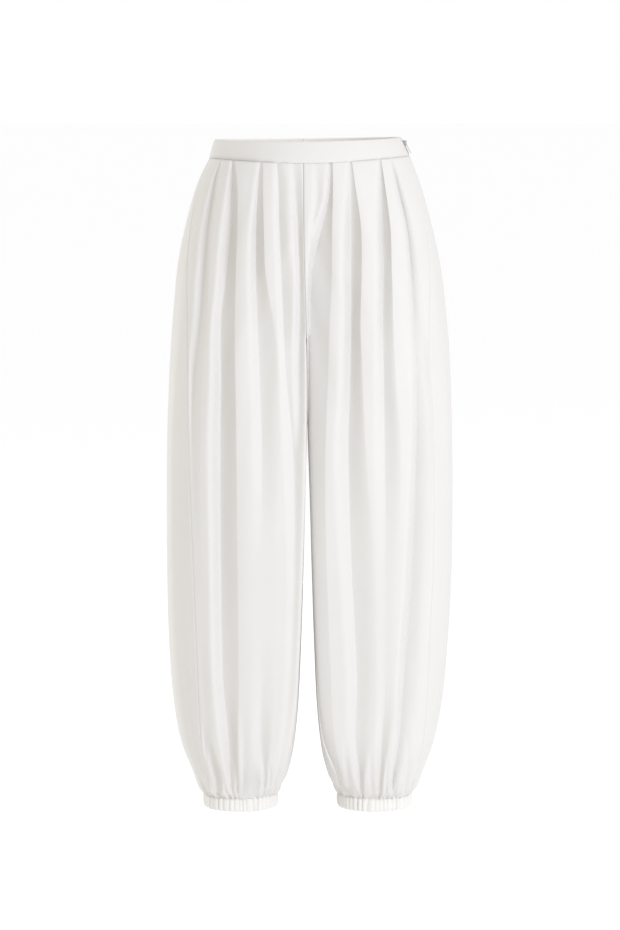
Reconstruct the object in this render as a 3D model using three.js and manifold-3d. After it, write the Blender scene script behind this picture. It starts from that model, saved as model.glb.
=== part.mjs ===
// Shalwar: pleated loose trousers on a plain waistband, gathered into two elastic cuffs.
// Millimetres, +Z up, front towards -Y. "left" and "right" are the wearer's, so left is +X.
// The origin is the middle of the waistband's ring, at half its height.
import * as THREE from "three";
import { mergeVertices } from "three/addons/utils/BufferGeometryUtils.js";
import Module from "manifold-3d";

// Cloth and seams.
const CLOTH_WALL = 2;
const BAND_WALL = 3;
const CUFF_WALL = 3;
const SEAM_GAP = 0.3;
const HALF_GAP = SEAM_GAP / 2;

// Heights of the main seams.
const FORK_Z = -262;
const CUFF_SEAM_Z = -922.5;
const HEM_Z = -944.5;

// Shape of the centre seams' run down to the fork: nearly straight, then a close turn under.
const FORK_FALL = 8;
const FORK_ROUND = 1.5;
const LEAST_CUT = 0.02;

// Waistband: its edges at the two sides, how far they dip at the middle, and its half sizes.
const BAND_TOP_Z = 14.4;
const BAND_LOW_Z = -12.1;
const BAND_TILT = 1.6;
const BAND_TOP_DIP = 2.7;
const BAND_LOW_DIP = 5.8;
const BAND_TOP_RING = { left: 130.8, right: 129.9, depth: 88 };
const BAND_LOW_RING = { left: 143.2, right: 137.6, depth: 92 };
const BAND_PROUD = 0.8;

// Side of the band where it opens: the share of the half width at which the zip stands.
const CLOSURE_SHARE = 0.9925;
const CLOSURE_GAP = 1.6;

// Body of the garment, a row for each section. left and right are the reach of the two sides, gap is
// half the space between the legs, and front and back are the reach from the middle plane.
const BODY = [
  { z: -12, left: 143.2, right: 137.6, gap: 0.2, front: 92, back: 92 },
  { z: -50, left: 158.5, right: 155.5, gap: 0.2, front: 100, back: 101 },
  { z: -100, left: 173.3, right: 170.5, gap: 0.2, front: 107, back: 111 },
  { z: -160, left: 187, right: 184, gap: 0.2, front: 112, back: 120 },
  { z: -220, left: 195, right: 190, gap: 0.25, front: 115, back: 126 },
  { z: -290, left: 201.3, right: 195.7, gap: 0.35, front: 115, back: 126 },
  { z: -370, left: 204.6, right: 200, gap: 0.5, front: 112, back: 121 },
  { z: -470, left: 206.6, right: 202.4, gap: 2.6, front: 108, back: 114 },
  { z: -590, left: 206, right: 202, gap: 6.2, front: 105, back: 109 },
  { z: -700, left: 201, right: 199.5, gap: 10.2, front: 101, back: 104 },
  { z: -790, left: 193, right: 193, gap: 14.5, front: 93, back: 95 },
  { z: -850, left: 181.5, right: 181.5, gap: 20.5, front: 83, back: 84 },
  { z: -893, left: 168, right: 168, gap: 33, front: 69, back: 70 },
  { z: -912, left: 158.5, right: 158.5, gap: 39.5, front: 57, back: 57 },
  { z: -922.5, left: 150.5, right: 150.5, gap: 42.5, front: 46.5, back: 46.5 },
];

// Place of each side seam, as a share of its leg's half width.
const SIDE_SEAMS = [
  { z: -12, left: 0.9925, right: 0.9925 },
  { z: -50, left: 0.975, right: 0.975 },
  { z: -100, left: 0.95, right: 0.94 },
  { z: -160, left: 0.9, right: 0.89 },
  { z: -220, left: 0.82, right: 0.83 },
  { z: -290, left: 0.74, right: 0.76 },
  { z: -370, left: 0.73, right: 0.7 },
  { z: -470, left: 0.72, right: 0.64 },
  { z: -590, left: 0.71, right: 0.59 },
  { z: -700, left: 0.7, right: 0.56 },
  { z: -790, left: 0.73, right: 0.57 },
  { z: -850, left: 0.77, right: 0.61 },
  { z: -893, left: 0.82, right: 0.66 },
  { z: -912, left: 0.85, right: 0.69 },
  { z: -922.5, left: 0.87, right: 0.72 },
];

// Middle of each leg's section, as a share of the way from its inner side to its outer side.
const LEG_MIDDLE = [
  { z: -12, share: 0.01 },
  { z: -60, share: 0.04 },
  { z: -110, share: 0.11 },
  { z: -160, share: 0.2 },
  { z: -220, share: 0.31 },
  { z: -300, share: 0.42 },
  { z: -400, share: 0.49 },
  { z: -500, share: 0.5 },
  { z: CUFF_SEAM_Z, share: 0.5 },
];

// Squareness of the legs' inner halves, where they press together: 2 is an oval, more is squarer.
const INNER_SQUARE = [
  { z: -12, power: 8 },
  { z: -400, power: 8 },
  { z: -550, power: 6 },
  { z: -700, power: 4.4 },
  { z: -850, power: 3 },
  { z: -912, power: 2.2 },
  { z: CUFF_SEAM_Z, power: 2 },
];
const OUTER_SQUARE = 2;

// The centre seams lean to the right at the waist and come back to the middle plane at the fork.
const CENTRE_LEAN = [
  { z: -12, x: -5.5 },
  { z: -140, x: -4.6 },
  { z: FORK_Z, x: -1.2 },
  { z: -480, x: 0 },
  { z: HEM_Z, x: 0 },
];

// Pleats of the front, a row for each section, counted outwards from the centre seam. from and to are
// the distances of their edges from the middle plane and deep is how far the valley between them sinks.
const PLEATS_LEFT = [
  [
    { z: -12, from: 31, to: 36, deep: 2 },
    { z: -65, from: 30, to: 35.5, deep: 4 },
    { z: -140, from: 26, to: 33.5, deep: 7 },
    { z: -250, from: 20.5, to: 31, deep: 8 },
    { z: -340, from: 12, to: 27, deep: 7 },
    { z: -470, from: 14, to: 25.5, deep: 5 },
    { z: -600, from: 18, to: 28.5, deep: 4 },
    { z: -700, from: 24, to: 35.5, deep: 3 },
    { z: -850, from: 34, to: 43, deep: 3 },
    { z: CUFF_SEAM_Z, from: 48, to: 54.5, deep: 2 },
  ],
  [
    { z: -12, from: 57, to: 62, deep: 2.5 },
    { z: -65, from: 60.5, to: 66.5, deep: 5 },
    { z: -140, from: 61, to: 75, deep: 9 },
    { z: -250, from: 58, to: 72.5, deep: 9 },
    { z: -340, from: 58.5, to: 77, deep: 9 },
    { z: -470, from: 59, to: 81, deep: 8 },
    { z: -600, from: 65, to: 86, deep: 5 },
    { z: -700, from: 72, to: 90, deep: 4 },
    { z: -850, from: 69, to: 84, deep: 4 },
    { z: CUFF_SEAM_Z, from: 76, to: 85, deep: 3 },
  ],
  [
    { z: -12, from: 97, to: 102, deep: 2 },
    { z: -65, from: 103, to: 108.5, deep: 4 },
    { z: -140, from: 106, to: 115, deep: 7 },
    { z: -250, from: 106.5, to: 116.5, deep: 7 },
    { z: -340, from: 109, to: 119.5, deep: 7 },
    { z: -470, from: 114, to: 127, deep: 4 },
    { z: -600, from: 120, to: 132, deep: 0.5 },
    { z: -700, from: 117, to: 128, deep: 0.5 },
    { z: -850, from: 105, to: 115, deep: 2.5 },
    { z: CUFF_SEAM_Z, from: 99, to: 106, deep: 2.5 },
  ],
  [
    { z: -12, from: 115, to: 120, deep: 2 },
    { z: -65, from: 128, to: 134, deep: 4 },
    { z: -140, from: 139, to: 149.5, deep: 7 },
    { z: -250, from: 147, to: 160.5, deep: 8 },
    { z: -340, from: 146.5, to: 160.5, deep: 6 },
    { z: -470, from: 145, to: 164, deep: 5 },
    { z: -600, from: 142, to: 157, deep: 3 },
    { z: -700, from: 137, to: 148.5, deep: 3 },
    { z: -850, from: 128, to: 138, deep: 3 },
    { z: CUFF_SEAM_Z, from: 122, to: 130.5, deep: 2 },
  ],
];
const PLEATS_RIGHT = [
  [
    { z: -12, from: 34, to: 42, deep: 2 },
    { z: -65, from: 26, to: 40.5, deep: 4 },
    { z: -140, from: 24, to: 40, deep: 5 },
    { z: -250, from: 18.5, to: 34.5, deep: 4 },
    { z: -340, from: 16, to: 31, deep: 3 },
    { z: -470, from: 12, to: 25, deep: 1.5 },
    { z: -600, from: 18, to: 30, deep: 0.5 },
    { z: -700, from: 26, to: 37, deep: 1 },
    { z: -850, from: 38, to: 46, deep: 2 },
    { z: CUFF_SEAM_Z, from: 50, to: 56, deep: 2 },
  ],
  [
    { z: -12, from: 61, to: 65.5, deep: 2 },
    { z: -65, from: 62.5, to: 72, deep: 5 },
    { z: -140, from: 58.5, to: 69.5, deep: 6 },
    { z: -250, from: 49, to: 65.5, deep: 6 },
    { z: -340, from: 43.5, to: 62, deep: 5 },
    { z: -470, from: 42, to: 56, deep: 2 },
    { z: -600, from: 42.5, to: 55, deep: 0.5 },
    { z: -700, from: 48, to: 61, deep: 1 },
    { z: -850, from: 49, to: 60, deep: 3 },
    { z: CUFF_SEAM_Z, from: 62, to: 68, deep: 2.5 },
  ],
  [
    { z: -12, from: 99.5, to: 104, deep: 2.5 },
    { z: -65, from: 97, to: 109.5, deep: 5.5 },
    { z: -140, from: 99.5, to: 109.5, deep: 8 },
    { z: -250, from: 101, to: 120, deep: 9 },
    { z: -340, from: 99.5, to: 119.5, deep: 9 },
    { z: -470, from: 97.5, to: 120, deep: 8 },
    { z: -600, from: 98.5, to: 122, deep: 7 },
    { z: -700, from: 97.5, to: 119, deep: 7 },
    { z: -850, from: 99, to: 113, deep: 6 },
    { z: CUFF_SEAM_Z, from: 96, to: 103, deep: 4 },
  ],
  [
    { z: -12, from: 116, to: 121, deep: 2 },
    { z: -65, from: 126.5, to: 135, deep: 5 },
    { z: -140, from: 134.5, to: 147, deep: 7 },
    { z: -250, from: 143, to: 155, deep: 7 },
    { z: -340, from: 147, to: 159, deep: 6 },
    { z: -470, from: 150, to: 160, deep: 3 },
    { z: -600, from: 146, to: 154, deep: 1 },
    { z: -700, from: 140, to: 149, deep: 1 },
    { z: -850, from: 132, to: 141, deep: 2.5 },
    { z: CUFF_SEAM_Z, from: 120, to: 128, deep: 2.5 },
  ],
];

// The back repeats the other leg's pleats a little shallower.
const BACK_DEPTH = 0.85;
// A panel's edge over a pleat stands a little proud of the body, and its middle is softly crowned.
const PLEAT_LIP = 0.8;
const PANEL_CROWN = 1.2;
// Soft trough between the centre seam and the first pleat.
const CENTRE_TROUGH = [
  { z: -12, deep: 0.4 },
  { z: -80, deep: 2.2 },
  { z: -180, deep: 2.4 },
  { z: FORK_Z, deep: 0 },
  { z: HEM_Z, deep: 0 },
];

// Heights of the panels' sections below the waist seam, closer at the fork and at the ends.
const PANEL_ROWS_Z = [
  -32, -62, -100, -150, -195, -228, -246, -256, -260.5, FORK_Z, -310, -385, -480, -600, -710, -790, -848, -888,
];
const WAIST_BLEND_Z = -85;
const CENTRE_COLUMNS = 4;
const SIDE_COLUMNS = 1;
const WRAP_COLUMNS = 5;

// Cuffs: elastic casings, ribbed by their gathers. The profile runs down the outside and up the inside.
const CUFF_CENTRE_X = 96.5;
const CUFF_HALF_WIDTH = 53.5;
const CUFF_HALF_DEPTH = 46;
const CUFF_RIBS = 18;
const CUFF_RIB_HEIGHT = 0.7;
const CUFF_PROFILE = [
  { drop: 0, out: -1.2 },
  { drop: 0.12, out: -0.2 },
  { drop: 0.5, out: 0.4 },
  { drop: 0.85, out: -0.6 },
  { drop: 1, out: -2.2 },
  { drop: 1, out: -CUFF_WALL },
  { drop: 0.5, out: -CUFF_WALL - 0.4 },
  { drop: 0, out: -CUFF_WALL - 1.2 },
];

// Band wall from its lower outer edge round its top fold: rise is a share of its height.
const BAND_PROFILE = [
  { rise: 0, out: 0 },
  { rise: 0.5, out: 0.5 },
  { rise: 0.93, out: 0.1 },
  { rise: 1, out: -1 },
  { rise: 0.98, out: -2.2 },
  { rise: 0.9, out: -BAND_WALL },
  { rise: 0.5, out: -BAND_WALL },
  { rise: 0, out: -BAND_WALL },
];
const BAND_FRONT_COLUMNS = 24;
const BAND_BACK_COLUMNS = 12;

// Zip tape inside the left side seam. clear_band and clear_leg are its distances from the cloth it backs.
const ZIP_TAPE = { top: 3.5, foot: -150, wall: 1, half_width: 12, clear_band: 1.2, clear_leg: 1.6 };
const ZIP_TAPE_COLUMNS = 4;
const ZIP_TAPE_ROWS_Z = [-30, -50, -75, -100, -125];

// Cosine of the band's lean at the closure: what is level there is this much nearer square to the band.
const CLOSURE_LEAN = 0.9;
// Zip slider on the band's outer face, with the bail that holds the pull tab. off is the distance of
// the slider's plate from the cloth, axle the distance of the tab's bar from the plate.
const SLIDER_Z = 5.5;
const SLIDER = { width: 5.6, height: 8.4, thick: 1.6, corner: 1.4, off: 0.8, neck: 1, neck_height: 3.4 };
const BAIL = { width: 1.4, wall: 0.8, window: 0.9, rise: 1.6, axle: 0.9 };
const TAB = { width: 4.4, length: 18.5, thick: 0.9, bar: 1, slot_width: 2.2, slot_foot: 3, corner: 1.2 };

// Hook and eye inside the band's ends, near the top. off is their distance from the cloth.
const FASTENER_Z = 9.6;
const HOOK = { off: 0.6, plate: 5.5, thick: 0.6, height: 3.4, throat: 1.5, reach: 3.2, bill: 3 };
const EYE = { off: 0.75, start: 0.6, bar: 0.9, wire: 0.9, length: 6, height: 5.8, foot: 2.2, rim: 0.4 };

// How far joined solids reach into each other and cuts run past a face, and the points on a round corner.
const JOIN = 0.5;
const CORNER_SEGMENTS = 3;
// Turn between two places on a panel that give its direction there.
const SMALL_TURN = 0.01;

// Finish of each kind of piece.
const FINISHES = {
  cloth: { color: 0xf3f1ee, roughness: 0.75, metalness: 0 },
  band: { color: 0xf3f0ec, roughness: 0.7, metalness: 0 },
  tape: { color: 0xefece7, roughness: 0.85, metalness: 0 },
  slider: { color: 0xc9c7c4, roughness: 0.4, metalness: 0.6 },
  wire: { color: 0x8d8b88, roughness: 0.35, metalness: 0.9 },
};

const FRONT = 1;
const BACK = -1;
const LEFT = { side: 1, name: "left" };
const RIGHT = { side: -1, name: "right" };

// Value of one column of a table at height z, on a smooth curve through its rows.
function at(table, column, z) {
  const last = table.length - 1;
  const rest = table.findIndex((row) => row.z <= z);
  const after = rest < 0 ? last : Math.max(rest, 1);
  const slope = (i) => {
    const low = table[Math.max(i - 1, 0)];
    const high = table[Math.min(i + 1, last)];
    return (high[column] - low[column]) / (high.z - low.z);
  };
  const a = table[after - 1];
  const b = table[after];
  const span = b.z - a.z;
  const t = THREE.MathUtils.clamp((z - a.z) / span, 0, 1);
  const s = 1 - t;
  const ends = a[column] * s * s * (1 + 2 * t) + b[column] * t * t * (3 - 2 * t);
  return ends + span * (slope(after - 1) * t * s * s - slope(after) * t * t * s);
}

// Section of one leg at height z: its middle, its half widths and its depths. Above the fork the middle
// plane cuts it at a share of its inner width.
function section(leg, z) {
  const gap = at(BODY, "gap", z);
  const reach = at(BODY, leg.name, z);
  const fall = THREE.MathUtils.clamp((z - BODY[0].z) / (FORK_Z - BODY[0].z), 0, 1);
  const cut = Math.max(1 - (1 - fall ** FORK_FALL) ** FORK_ROUND, LEAST_CUT);
  const inside = (reach - gap) * at(LEG_MIDDLE, "share", z);
  const middle = gap + inside;
  return {
    z,
    gap,
    reach,
    middle,
    inner: { width: inside / cut, power: at(INNER_SQUARE, "power", z) },
    outer: { width: reach - middle, power: OUTER_SQUARE },
    front: at(BODY, "front", z),
    back: at(BODY, "back", z),
    lean: at(CENTRE_LEAN, "x", z) * leg.side,
  };
}

function depthOf(cross, face) {
  return face === FRONT ? cross.front : cross.back;
}

// How far the lean of the centre seams carries a point at distance x from the middle plane.
function leanAt(cross, x) {
  return cross.lean * (1 - (x / cross.reach) ** 2);
}

// Direction from the section's middle, from 0 at the inseam to PI at the outer side, of a place at
// distance x before the lean.
function turnAt(cross, face, x) {
  const away = cross.middle - x;
  const half = away > 0 ? cross.inner : cross.outer;
  const share = Math.min(Math.abs(away) / half.width, 1);
  return Math.atan2(depthOf(cross, face) * (1 - share ** half.power) ** (1 / half.power), away);
}

// The same, of a place at distance x in the finished garment.
function leaningTurnAt(cross, face, x) {
  return turnAt(cross, face, x - leanAt(cross, x));
}

// Point on one leg in a direction, sunk by some depth along the inward normal of its section.
function skin(leg, cross, face, turn, deep) {
  const depth = depthOf(cross, face);
  const half = Math.cos(turn) > 0 ? cross.inner : cross.outer;
  const [across, away] = [Math.abs(Math.cos(turn)) / half.width, Math.sin(turn) / depth];
  const radius = (across ** half.power + away ** half.power) ** (-1 / half.power);
  const side = -Math.sign(Math.cos(turn));
  const normal = new THREE.Vector2(
    (side * across ** (half.power - 1)) / half.width,
    away ** (half.power - 1) / depth,
  ).normalize();
  const oval = cross.middle - radius * Math.cos(turn);
  const x = oval + leanAt(cross, oval) - deep * normal.x;
  const y = Math.max(radius * Math.sin(turn), HALF_GAP) - deep * normal.y;
  return new THREE.Vector3(leg.side * x, -face * y, cross.z);
}

// Direction of the side seam, which lies on the front half of the leg.
function seamTurn(leg, cross) {
  return turnAt(cross, FRONT, cross.middle + cross.outer.width * at(SIDE_SEAMS, leg.name, cross.z));
}

// Columns of one panel at one height, from the centre seam or inseam to the side seam. The back panel
// runs on past the outer side to the seam.
function panelColumns(leg, face, cross) {
  const own = leg === LEFT ? PLEATS_LEFT : PLEATS_RIGHT;
  const other = leg === LEFT ? PLEATS_RIGHT : PLEATS_LEFT;
  const pleats = face === FRONT ? own : other;
  const scale = face === FRONT ? 1 : BACK_DEPTH;
  const placed = (pleat, edge) => leaningTurnAt(cross, face, at(pleat, edge, cross.z));
  const columns = [{ turn: turnAt(cross, face, cross.gap), deep: 0 }];
  for (let i = 1; i <= CENTRE_COLUMNS; i += 1) {
    const share = i / (CENTRE_COLUMNS + 1);
    const turn = THREE.MathUtils.lerp(columns[0].turn, placed(pleats[0], "from"), share);
    columns.push({ turn, deep: at(CENTRE_TROUGH, "deep", cross.z) * Math.sin(Math.PI * share) });
  }
  pleats.forEach((pleat, i) => {
    const [from, to] = [placed(pleat, "from"), placed(pleat, "to")];
    const deep = Math.max(at(pleat, "deep", cross.z), 0) * scale;
    const lip = -PLEAT_LIP * Math.min(deep / PANEL_CROWN, 1);
    if (i > 0) {
      columns.push({ turn: (columns[columns.length - 1].turn + from) / 2, deep: -PANEL_CROWN });
    }
    columns.push({ turn: from, deep: lip }, { turn: (from + to) / 2, deep }, { turn: to, deep: lip });
  });
  const last = columns[columns.length - 1].turn;
  const seam = seamTurn(leg, cross);
  const [end, steps] = face === FRONT ? [seam, SIDE_COLUMNS] : [2 * Math.PI - seam, WRAP_COLUMNS];
  for (let i = 1; i <= steps; i += 1) {
    columns.push({ turn: THREE.MathUtils.lerp(last, end, i / (steps + 1)), deep: -PANEL_CROWN / 2 });
  }
  columns.push({ turn: end, deep: 0, seam: true });
  return columns;
}

// Point of a column, on whichever half of the leg its direction reaches. At the side seam each panel
// keeps back from the other by half the gap.
function columnPoint(leg, face, cross, column, extra) {
  const past = column.turn > Math.PI;
  const turn = past ? 2 * Math.PI - column.turn : column.turn;
  const half = past ? -face : face;
  const point = skin(leg, cross, half, turn, column.deep + extra);
  if (column.seam) {
    const toFront = skin(leg, cross, half, turn - SMALL_TURN, column.deep + extra).sub(point).normalize();
    point.addScaledVector(toFront, face === FRONT ? HALF_GAP : -HALF_GAP);
  }
  return point;
}

// Height of the band's lower or upper edge over a place at distance x left of the middle plane.
function bandEdge(x, side, dip) {
  const share = Math.min(Math.abs(x) / BAND_LOW_RING.left, 1);
  return side + (BAND_TILT * x) / BAND_LOW_RING.left - dip * (1 - share * share);
}

// Closed wall between an outer and an inner grid of points.
function wall(outer, inner) {
  const rows = outer.length;
  const count = outer[0].length;
  const points = [...outer.flat(), ...inner.flat()];
  const far = rows * count;
  const index = [];
  const quad = (a, b, c, d) => index.push(a, b, c, a, c, d);
  for (let r = 0; r + 1 < rows; r += 1) {
    for (let c = 0; c + 1 < count; c += 1) {
      const p = r * count + c;
      quad(p, p + count, p + count + 1, p + 1);
      quad(far + p, far + p + 1, far + p + count + 1, far + p + count);
    }
  }
  for (let c = 0; c + 1 < count; c += 1) {
    const p = (rows - 1) * count + c;
    quad(c, c + 1, far + c + 1, far + c);
    quad(p, far + p, far + p + 1, p + 1);
  }
  for (let r = 0; r + 1 < rows; r += 1) {
    const p = r * count;
    const q = p + count - 1;
    quad(p, far + p, far + p + count, p + count);
    quad(q, q + count, far + q + count, far + q);
  }
  return facingOut(points, index);
}

// Closed tube or bent bar: a ring of profile points at each station, capped unless it closes.
function sweep(stations, closed) {
  const size = stations[0].length;
  const index = [];
  const last = closed ? stations.length : stations.length - 1;
  for (let s = 0; s < last; s += 1) {
    const next = (s + 1) % stations.length;
    for (let i = 0; i < size; i += 1) {
      const j = (i + 1) % size;
      const [a, b] = [s * size + i, s * size + j];
      const [c, d] = [next * size + j, next * size + i];
      index.push(a, b, c, a, c, d);
    }
  }
  if (!closed) {
    THREE.ShapeUtils.triangulateShape(capOutline(stations[0]), []).forEach(([a, b, c]) => {
      const far = (stations.length - 1) * size;
      index.push(a, c, b, far + a, far + b, far + c);
    });
  }
  return facingOut(stations.flat(), index);
}

// Outline of an end ring, as height over distance from the origin's upright line.
function capOutline(ring) {
  return ring.map((p) => new THREE.Vector2(Math.hypot(p.x, p.y), p.z));
}

// Geometry of a closed surface, turned so that its faces point out.
function facingOut(points, index) {
  let volume = 0;
  for (let i = 0; i < index.length; i += 3) {
    const [a, b, c] = [points[index[i]], points[index[i + 1]], points[index[i + 2]]];
    volume += a.dot(b.clone().cross(c));
  }
  const turned = volume < 0 ? index.slice().reverse() : index;
  const geometry = new THREE.BufferGeometry().setFromPoints(points);
  geometry.setIndex(turned);
  geometry.computeVertexNormals();
  return geometry;
}

function piece(name, geometry, finish) {
  const mesh = new THREE.Mesh(geometry, new THREE.MeshStandardMaterial(FINISHES[finish]));
  mesh.name = name;
  return mesh;
}

// One of the four panels of the legs.
function legPanel(leg, face) {
  const heights = [BODY[0].z, ...PANEL_ROWS_Z, CUFF_SEAM_Z + SEAM_GAP];
  const rows = (extra) =>
    heights.map((z) => {
      const cross = section(leg, z);
      return panelColumns(leg, face, cross).map((column) => {
        const point = columnPoint(leg, face, cross, column, extra);
        const blend = THREE.MathUtils.clamp((z - WAIST_BLEND_Z) / (BODY[0].z - WAIST_BLEND_Z), 0, 1);
        const seam = bandEdge(point.x, BAND_LOW_Z, BAND_LOW_DIP) - SEAM_GAP;
        point.z += (seam - BODY[0].z) * blend;
        return point;
      });
    });
  const name = "leg_" + (face === FRONT ? "front_" : "back_") + leg.name;
  return piece(name, wall(rows(0), rows(CLOTH_WALL)), "cloth");
}

// Place on the band at an angle from the left side round the back, with its outward normal.
function bandPlace(angle, rise, out) {
  const left = Math.cos(angle) > 0 ? "left" : "right";
  const mix = (key) => THREE.MathUtils.lerp(BAND_LOW_RING[key], BAND_TOP_RING[key], rise);
  const [half, depth] = [mix(left), mix("depth")];
  const normal = new THREE.Vector2(Math.cos(angle) / half, Math.sin(angle) / depth).normalize();
  const x = half * Math.cos(angle) + (out + BAND_PROUD) * normal.x;
  const y = depth * Math.sin(angle) + (out + BAND_PROUD) * normal.y;
  const low = bandEdge(x, BAND_LOW_Z, BAND_LOW_DIP);
  const top = bandEdge(x, BAND_TOP_Z, BAND_TOP_DIP);
  return new THREE.Vector3(x, y, THREE.MathUtils.lerp(low, top, rise));
}

// Length of waistband between two angles, with a little taken off each end for the seam.
function bandPiece(name, from, to, columns, takenFrom, takenTo) {
  const trimmedFrom = from + takenFrom / bandRadius(from);
  const trimmedTo = to - takenTo / bandRadius(to);
  const stations = [];
  for (let i = 0; i <= columns; i += 1) {
    const angle = THREE.MathUtils.lerp(trimmedFrom, trimmedTo, i / columns);
    stations.push(BAND_PROFILE.map(({ rise, out }) => bandPlace(angle, rise, out)));
  }
  return piece(name, sweep(stations, false), "band");
}

// Length of arc for each unit of angle at a place of the band.
function bandRadius(angle) {
  const half = BAND_LOW_RING.left;
  return Math.hypot(half * Math.sin(angle), BAND_LOW_RING.depth * Math.cos(angle));
}

// The three lengths of the waistband: the back has a seam at its middle.
function waistband() {
  const closure = -Math.acos(CLOSURE_SHARE);
  const rightSide = -Math.PI - closure;
  const rightEnd = Math.PI - closure;
  const backMiddle = Math.PI / 2 - CENTRE_LEAN[0].x / BAND_TOP_RING.left;
  const open = CLOSURE_GAP / 2;
  return [
    bandPiece("waistband_front", rightSide, closure, BAND_FRONT_COLUMNS, HALF_GAP, open),
    bandPiece("waistband_back_left", closure, backMiddle, BAND_BACK_COLUMNS, open, HALF_GAP),
    bandPiece("waistband_back_right", backMiddle, rightEnd, BAND_BACK_COLUMNS, HALF_GAP, HALF_GAP),
  ];
}

// Elastic casing at the foot of a leg, with a ridge for each gather.
function cuff(leg) {
  const stations = [];
  const count = CUFF_RIBS * 2;
  for (let i = 0; i < count; i += 1) {
    const angle = (i / count) * 2 * Math.PI;
    const rib = i % 2 === 0 ? CUFF_RIB_HEIGHT : 0;
    stations.push(
      CUFF_PROFILE.map(({ drop, out }) => {
        const swell = out > -CUFF_WALL ? rib : 0;
        const x = (CUFF_HALF_WIDTH + out + swell) * Math.cos(angle);
        const y = (CUFF_HALF_DEPTH + out + swell) * Math.sin(angle);
        const z = THREE.MathUtils.lerp(CUFF_SEAM_Z, HEM_Z, drop);
        return new THREE.Vector3(leg.side * CUFF_CENTRE_X + x, y, z);
      }),
    );
  }
  return piece("cuff_" + leg.name, sweep(stations, true), "cloth");
}

// Frame on the band's outer face at the closure: X out of the cloth, Y along the band, Z up it.
function closureFrame(z) {
  const angle = -Math.acos(CLOSURE_SHARE);
  const rise = (z - BAND_LOW_Z) / (BAND_TOP_Z - BAND_LOW_Z);
  const up = bandPlace(angle, 1, 0).sub(bandPlace(angle, 0, 0)).normalize();
  const [half, depth] = [BAND_LOW_RING.left, BAND_LOW_RING.depth];
  const along = new THREE.Vector3(-Math.sin(angle) * half, Math.cos(angle) * depth, 0).normalize();
  const out = along.cross(up).normalize();
  const frame = new THREE.Group();
  frame.position.copy(bandPlace(angle, rise, 0));
  frame.quaternion.setFromRotationMatrix(new THREE.Matrix4().makeBasis(out, up.clone().cross(out), up));
  return frame;
}

// Strip of tape behind the closure, down the inside of the left side seam.
function zipTape() {
  const rings = (extra) => {
    const rows = [];
    for (const z of [ZIP_TAPE.top, (ZIP_TAPE.top + BAND_LOW_Z) / 2, BAND_LOW_Z]) {
      const rise = (z - BAND_LOW_Z) / (BAND_TOP_Z - BAND_LOW_Z);
      const deep = BAND_WALL + ZIP_TAPE.clear_band + extra;
      const angle = (offset) => offset / BAND_LOW_RING.depth - Math.acos(CLOSURE_SHARE);
      rows.push(tapeRow((offset) => bandPlace(angle(offset), rise, -deep)));
    }
    for (const z of [...ZIP_TAPE_ROWS_Z, ZIP_TAPE.foot]) {
      const cross = section(LEFT, z);
      const seam = seamTurn(LEFT, cross);
      const deep = CLOTH_WALL + ZIP_TAPE.clear_leg + extra;
      const place = (offset) => ({ turn: seam + offset / cross.outer.width, deep });
      rows.push(tapeRow((offset) => columnPoint(LEFT, FRONT, cross, place(offset), 0)));
    }
    return rows;
  };
  return piece("zip_tape", wall(rings(0), rings(ZIP_TAPE.wall)), "tape");
}

// One row of the tape's points, from its front edge to its back edge.
function tapeRow(placeAt) {
  const row = [];
  for (let i = 0; i <= ZIP_TAPE_COLUMNS; i += 1) {
    row.push(placeAt(ZIP_TAPE.half_width * ((2 * i) / ZIP_TAPE_COLUMNS - 1)));
  }
  return row;
}

// Outline of a rectangle with round corners, in its own plane.
function roundedOutline(width, height, corner, middle) {
  const [w, h] = [width / 2 - corner, height / 2 - corner];
  const shape = new THREE.Shape();
  [[w, h], [-w, h], [-w, -h], [w, -h]].forEach(([x, y], i) => {
    shape.absarc(x, middle + y, corner, (i * Math.PI) / 2, ((i + 1) * Math.PI) / 2, false);
  });
  return shape;
}

// Plate of a given outline seen from outside the band: outline x runs along the band and y up it.
function plate(shape, inner, thick) {
  const geometry = new THREE.ExtrudeGeometry(shape, {
    depth: thick,
    bevelEnabled: false,
    curveSegments: CORNER_SEGMENTS,
  });
  const turn = new THREE.Matrix4().makeBasis(
    new THREE.Vector3(0, 1, 0),
    new THREE.Vector3(0, 0, 1),
    new THREE.Vector3(1, 0, 0),
  );
  return geometry.applyMatrix4(turn).translate(inner, 0, 0);
}

function block(x, y, z) {
  const [width, length, height] = [x[1] - x[0], y[1] - y[0], z[1] - z[0]];
  return new THREE.BoxGeometry(width, length, height).translate(
    (x[0] + x[1]) / 2,
    (y[0] + y[1]) / 2,
    (z[0] + z[1]) / 2,
  );
}

const wasm = await Module();
wasm.setup();

// Solid of a closed geometry, for joining and cutting.
function solid(geometry) {
  const bare = geometry.clone();
  bare.deleteAttribute("normal");
  bare.deleteAttribute("uv");
  const merged = mergeVertices(bare, 1e-4);
  const vertProperties = new Float32Array(merged.attributes.position.array);
  const triVerts = new Uint32Array(merged.index.array);
  return new wasm.Manifold(new wasm.Mesh({ numProp: 3, vertProperties, triVerts }));
}

function geometryOf(made) {
  const mesh = made.getMesh();
  const geometry = new THREE.BufferGeometry();
  geometry.setAttribute("position", new THREE.BufferAttribute(mesh.vertProperties, 3));
  geometry.setIndex(new THREE.BufferAttribute(mesh.triVerts, 1));
  return geometry.toNonIndexed();
}

// Distance from the cloth of the slider's plate and of the bar that the tab turns on.
const PLATE_FACE = SLIDER.off + SLIDER.thick;
const AXLE_X = PLATE_FACE + BAIL.axle;

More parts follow.
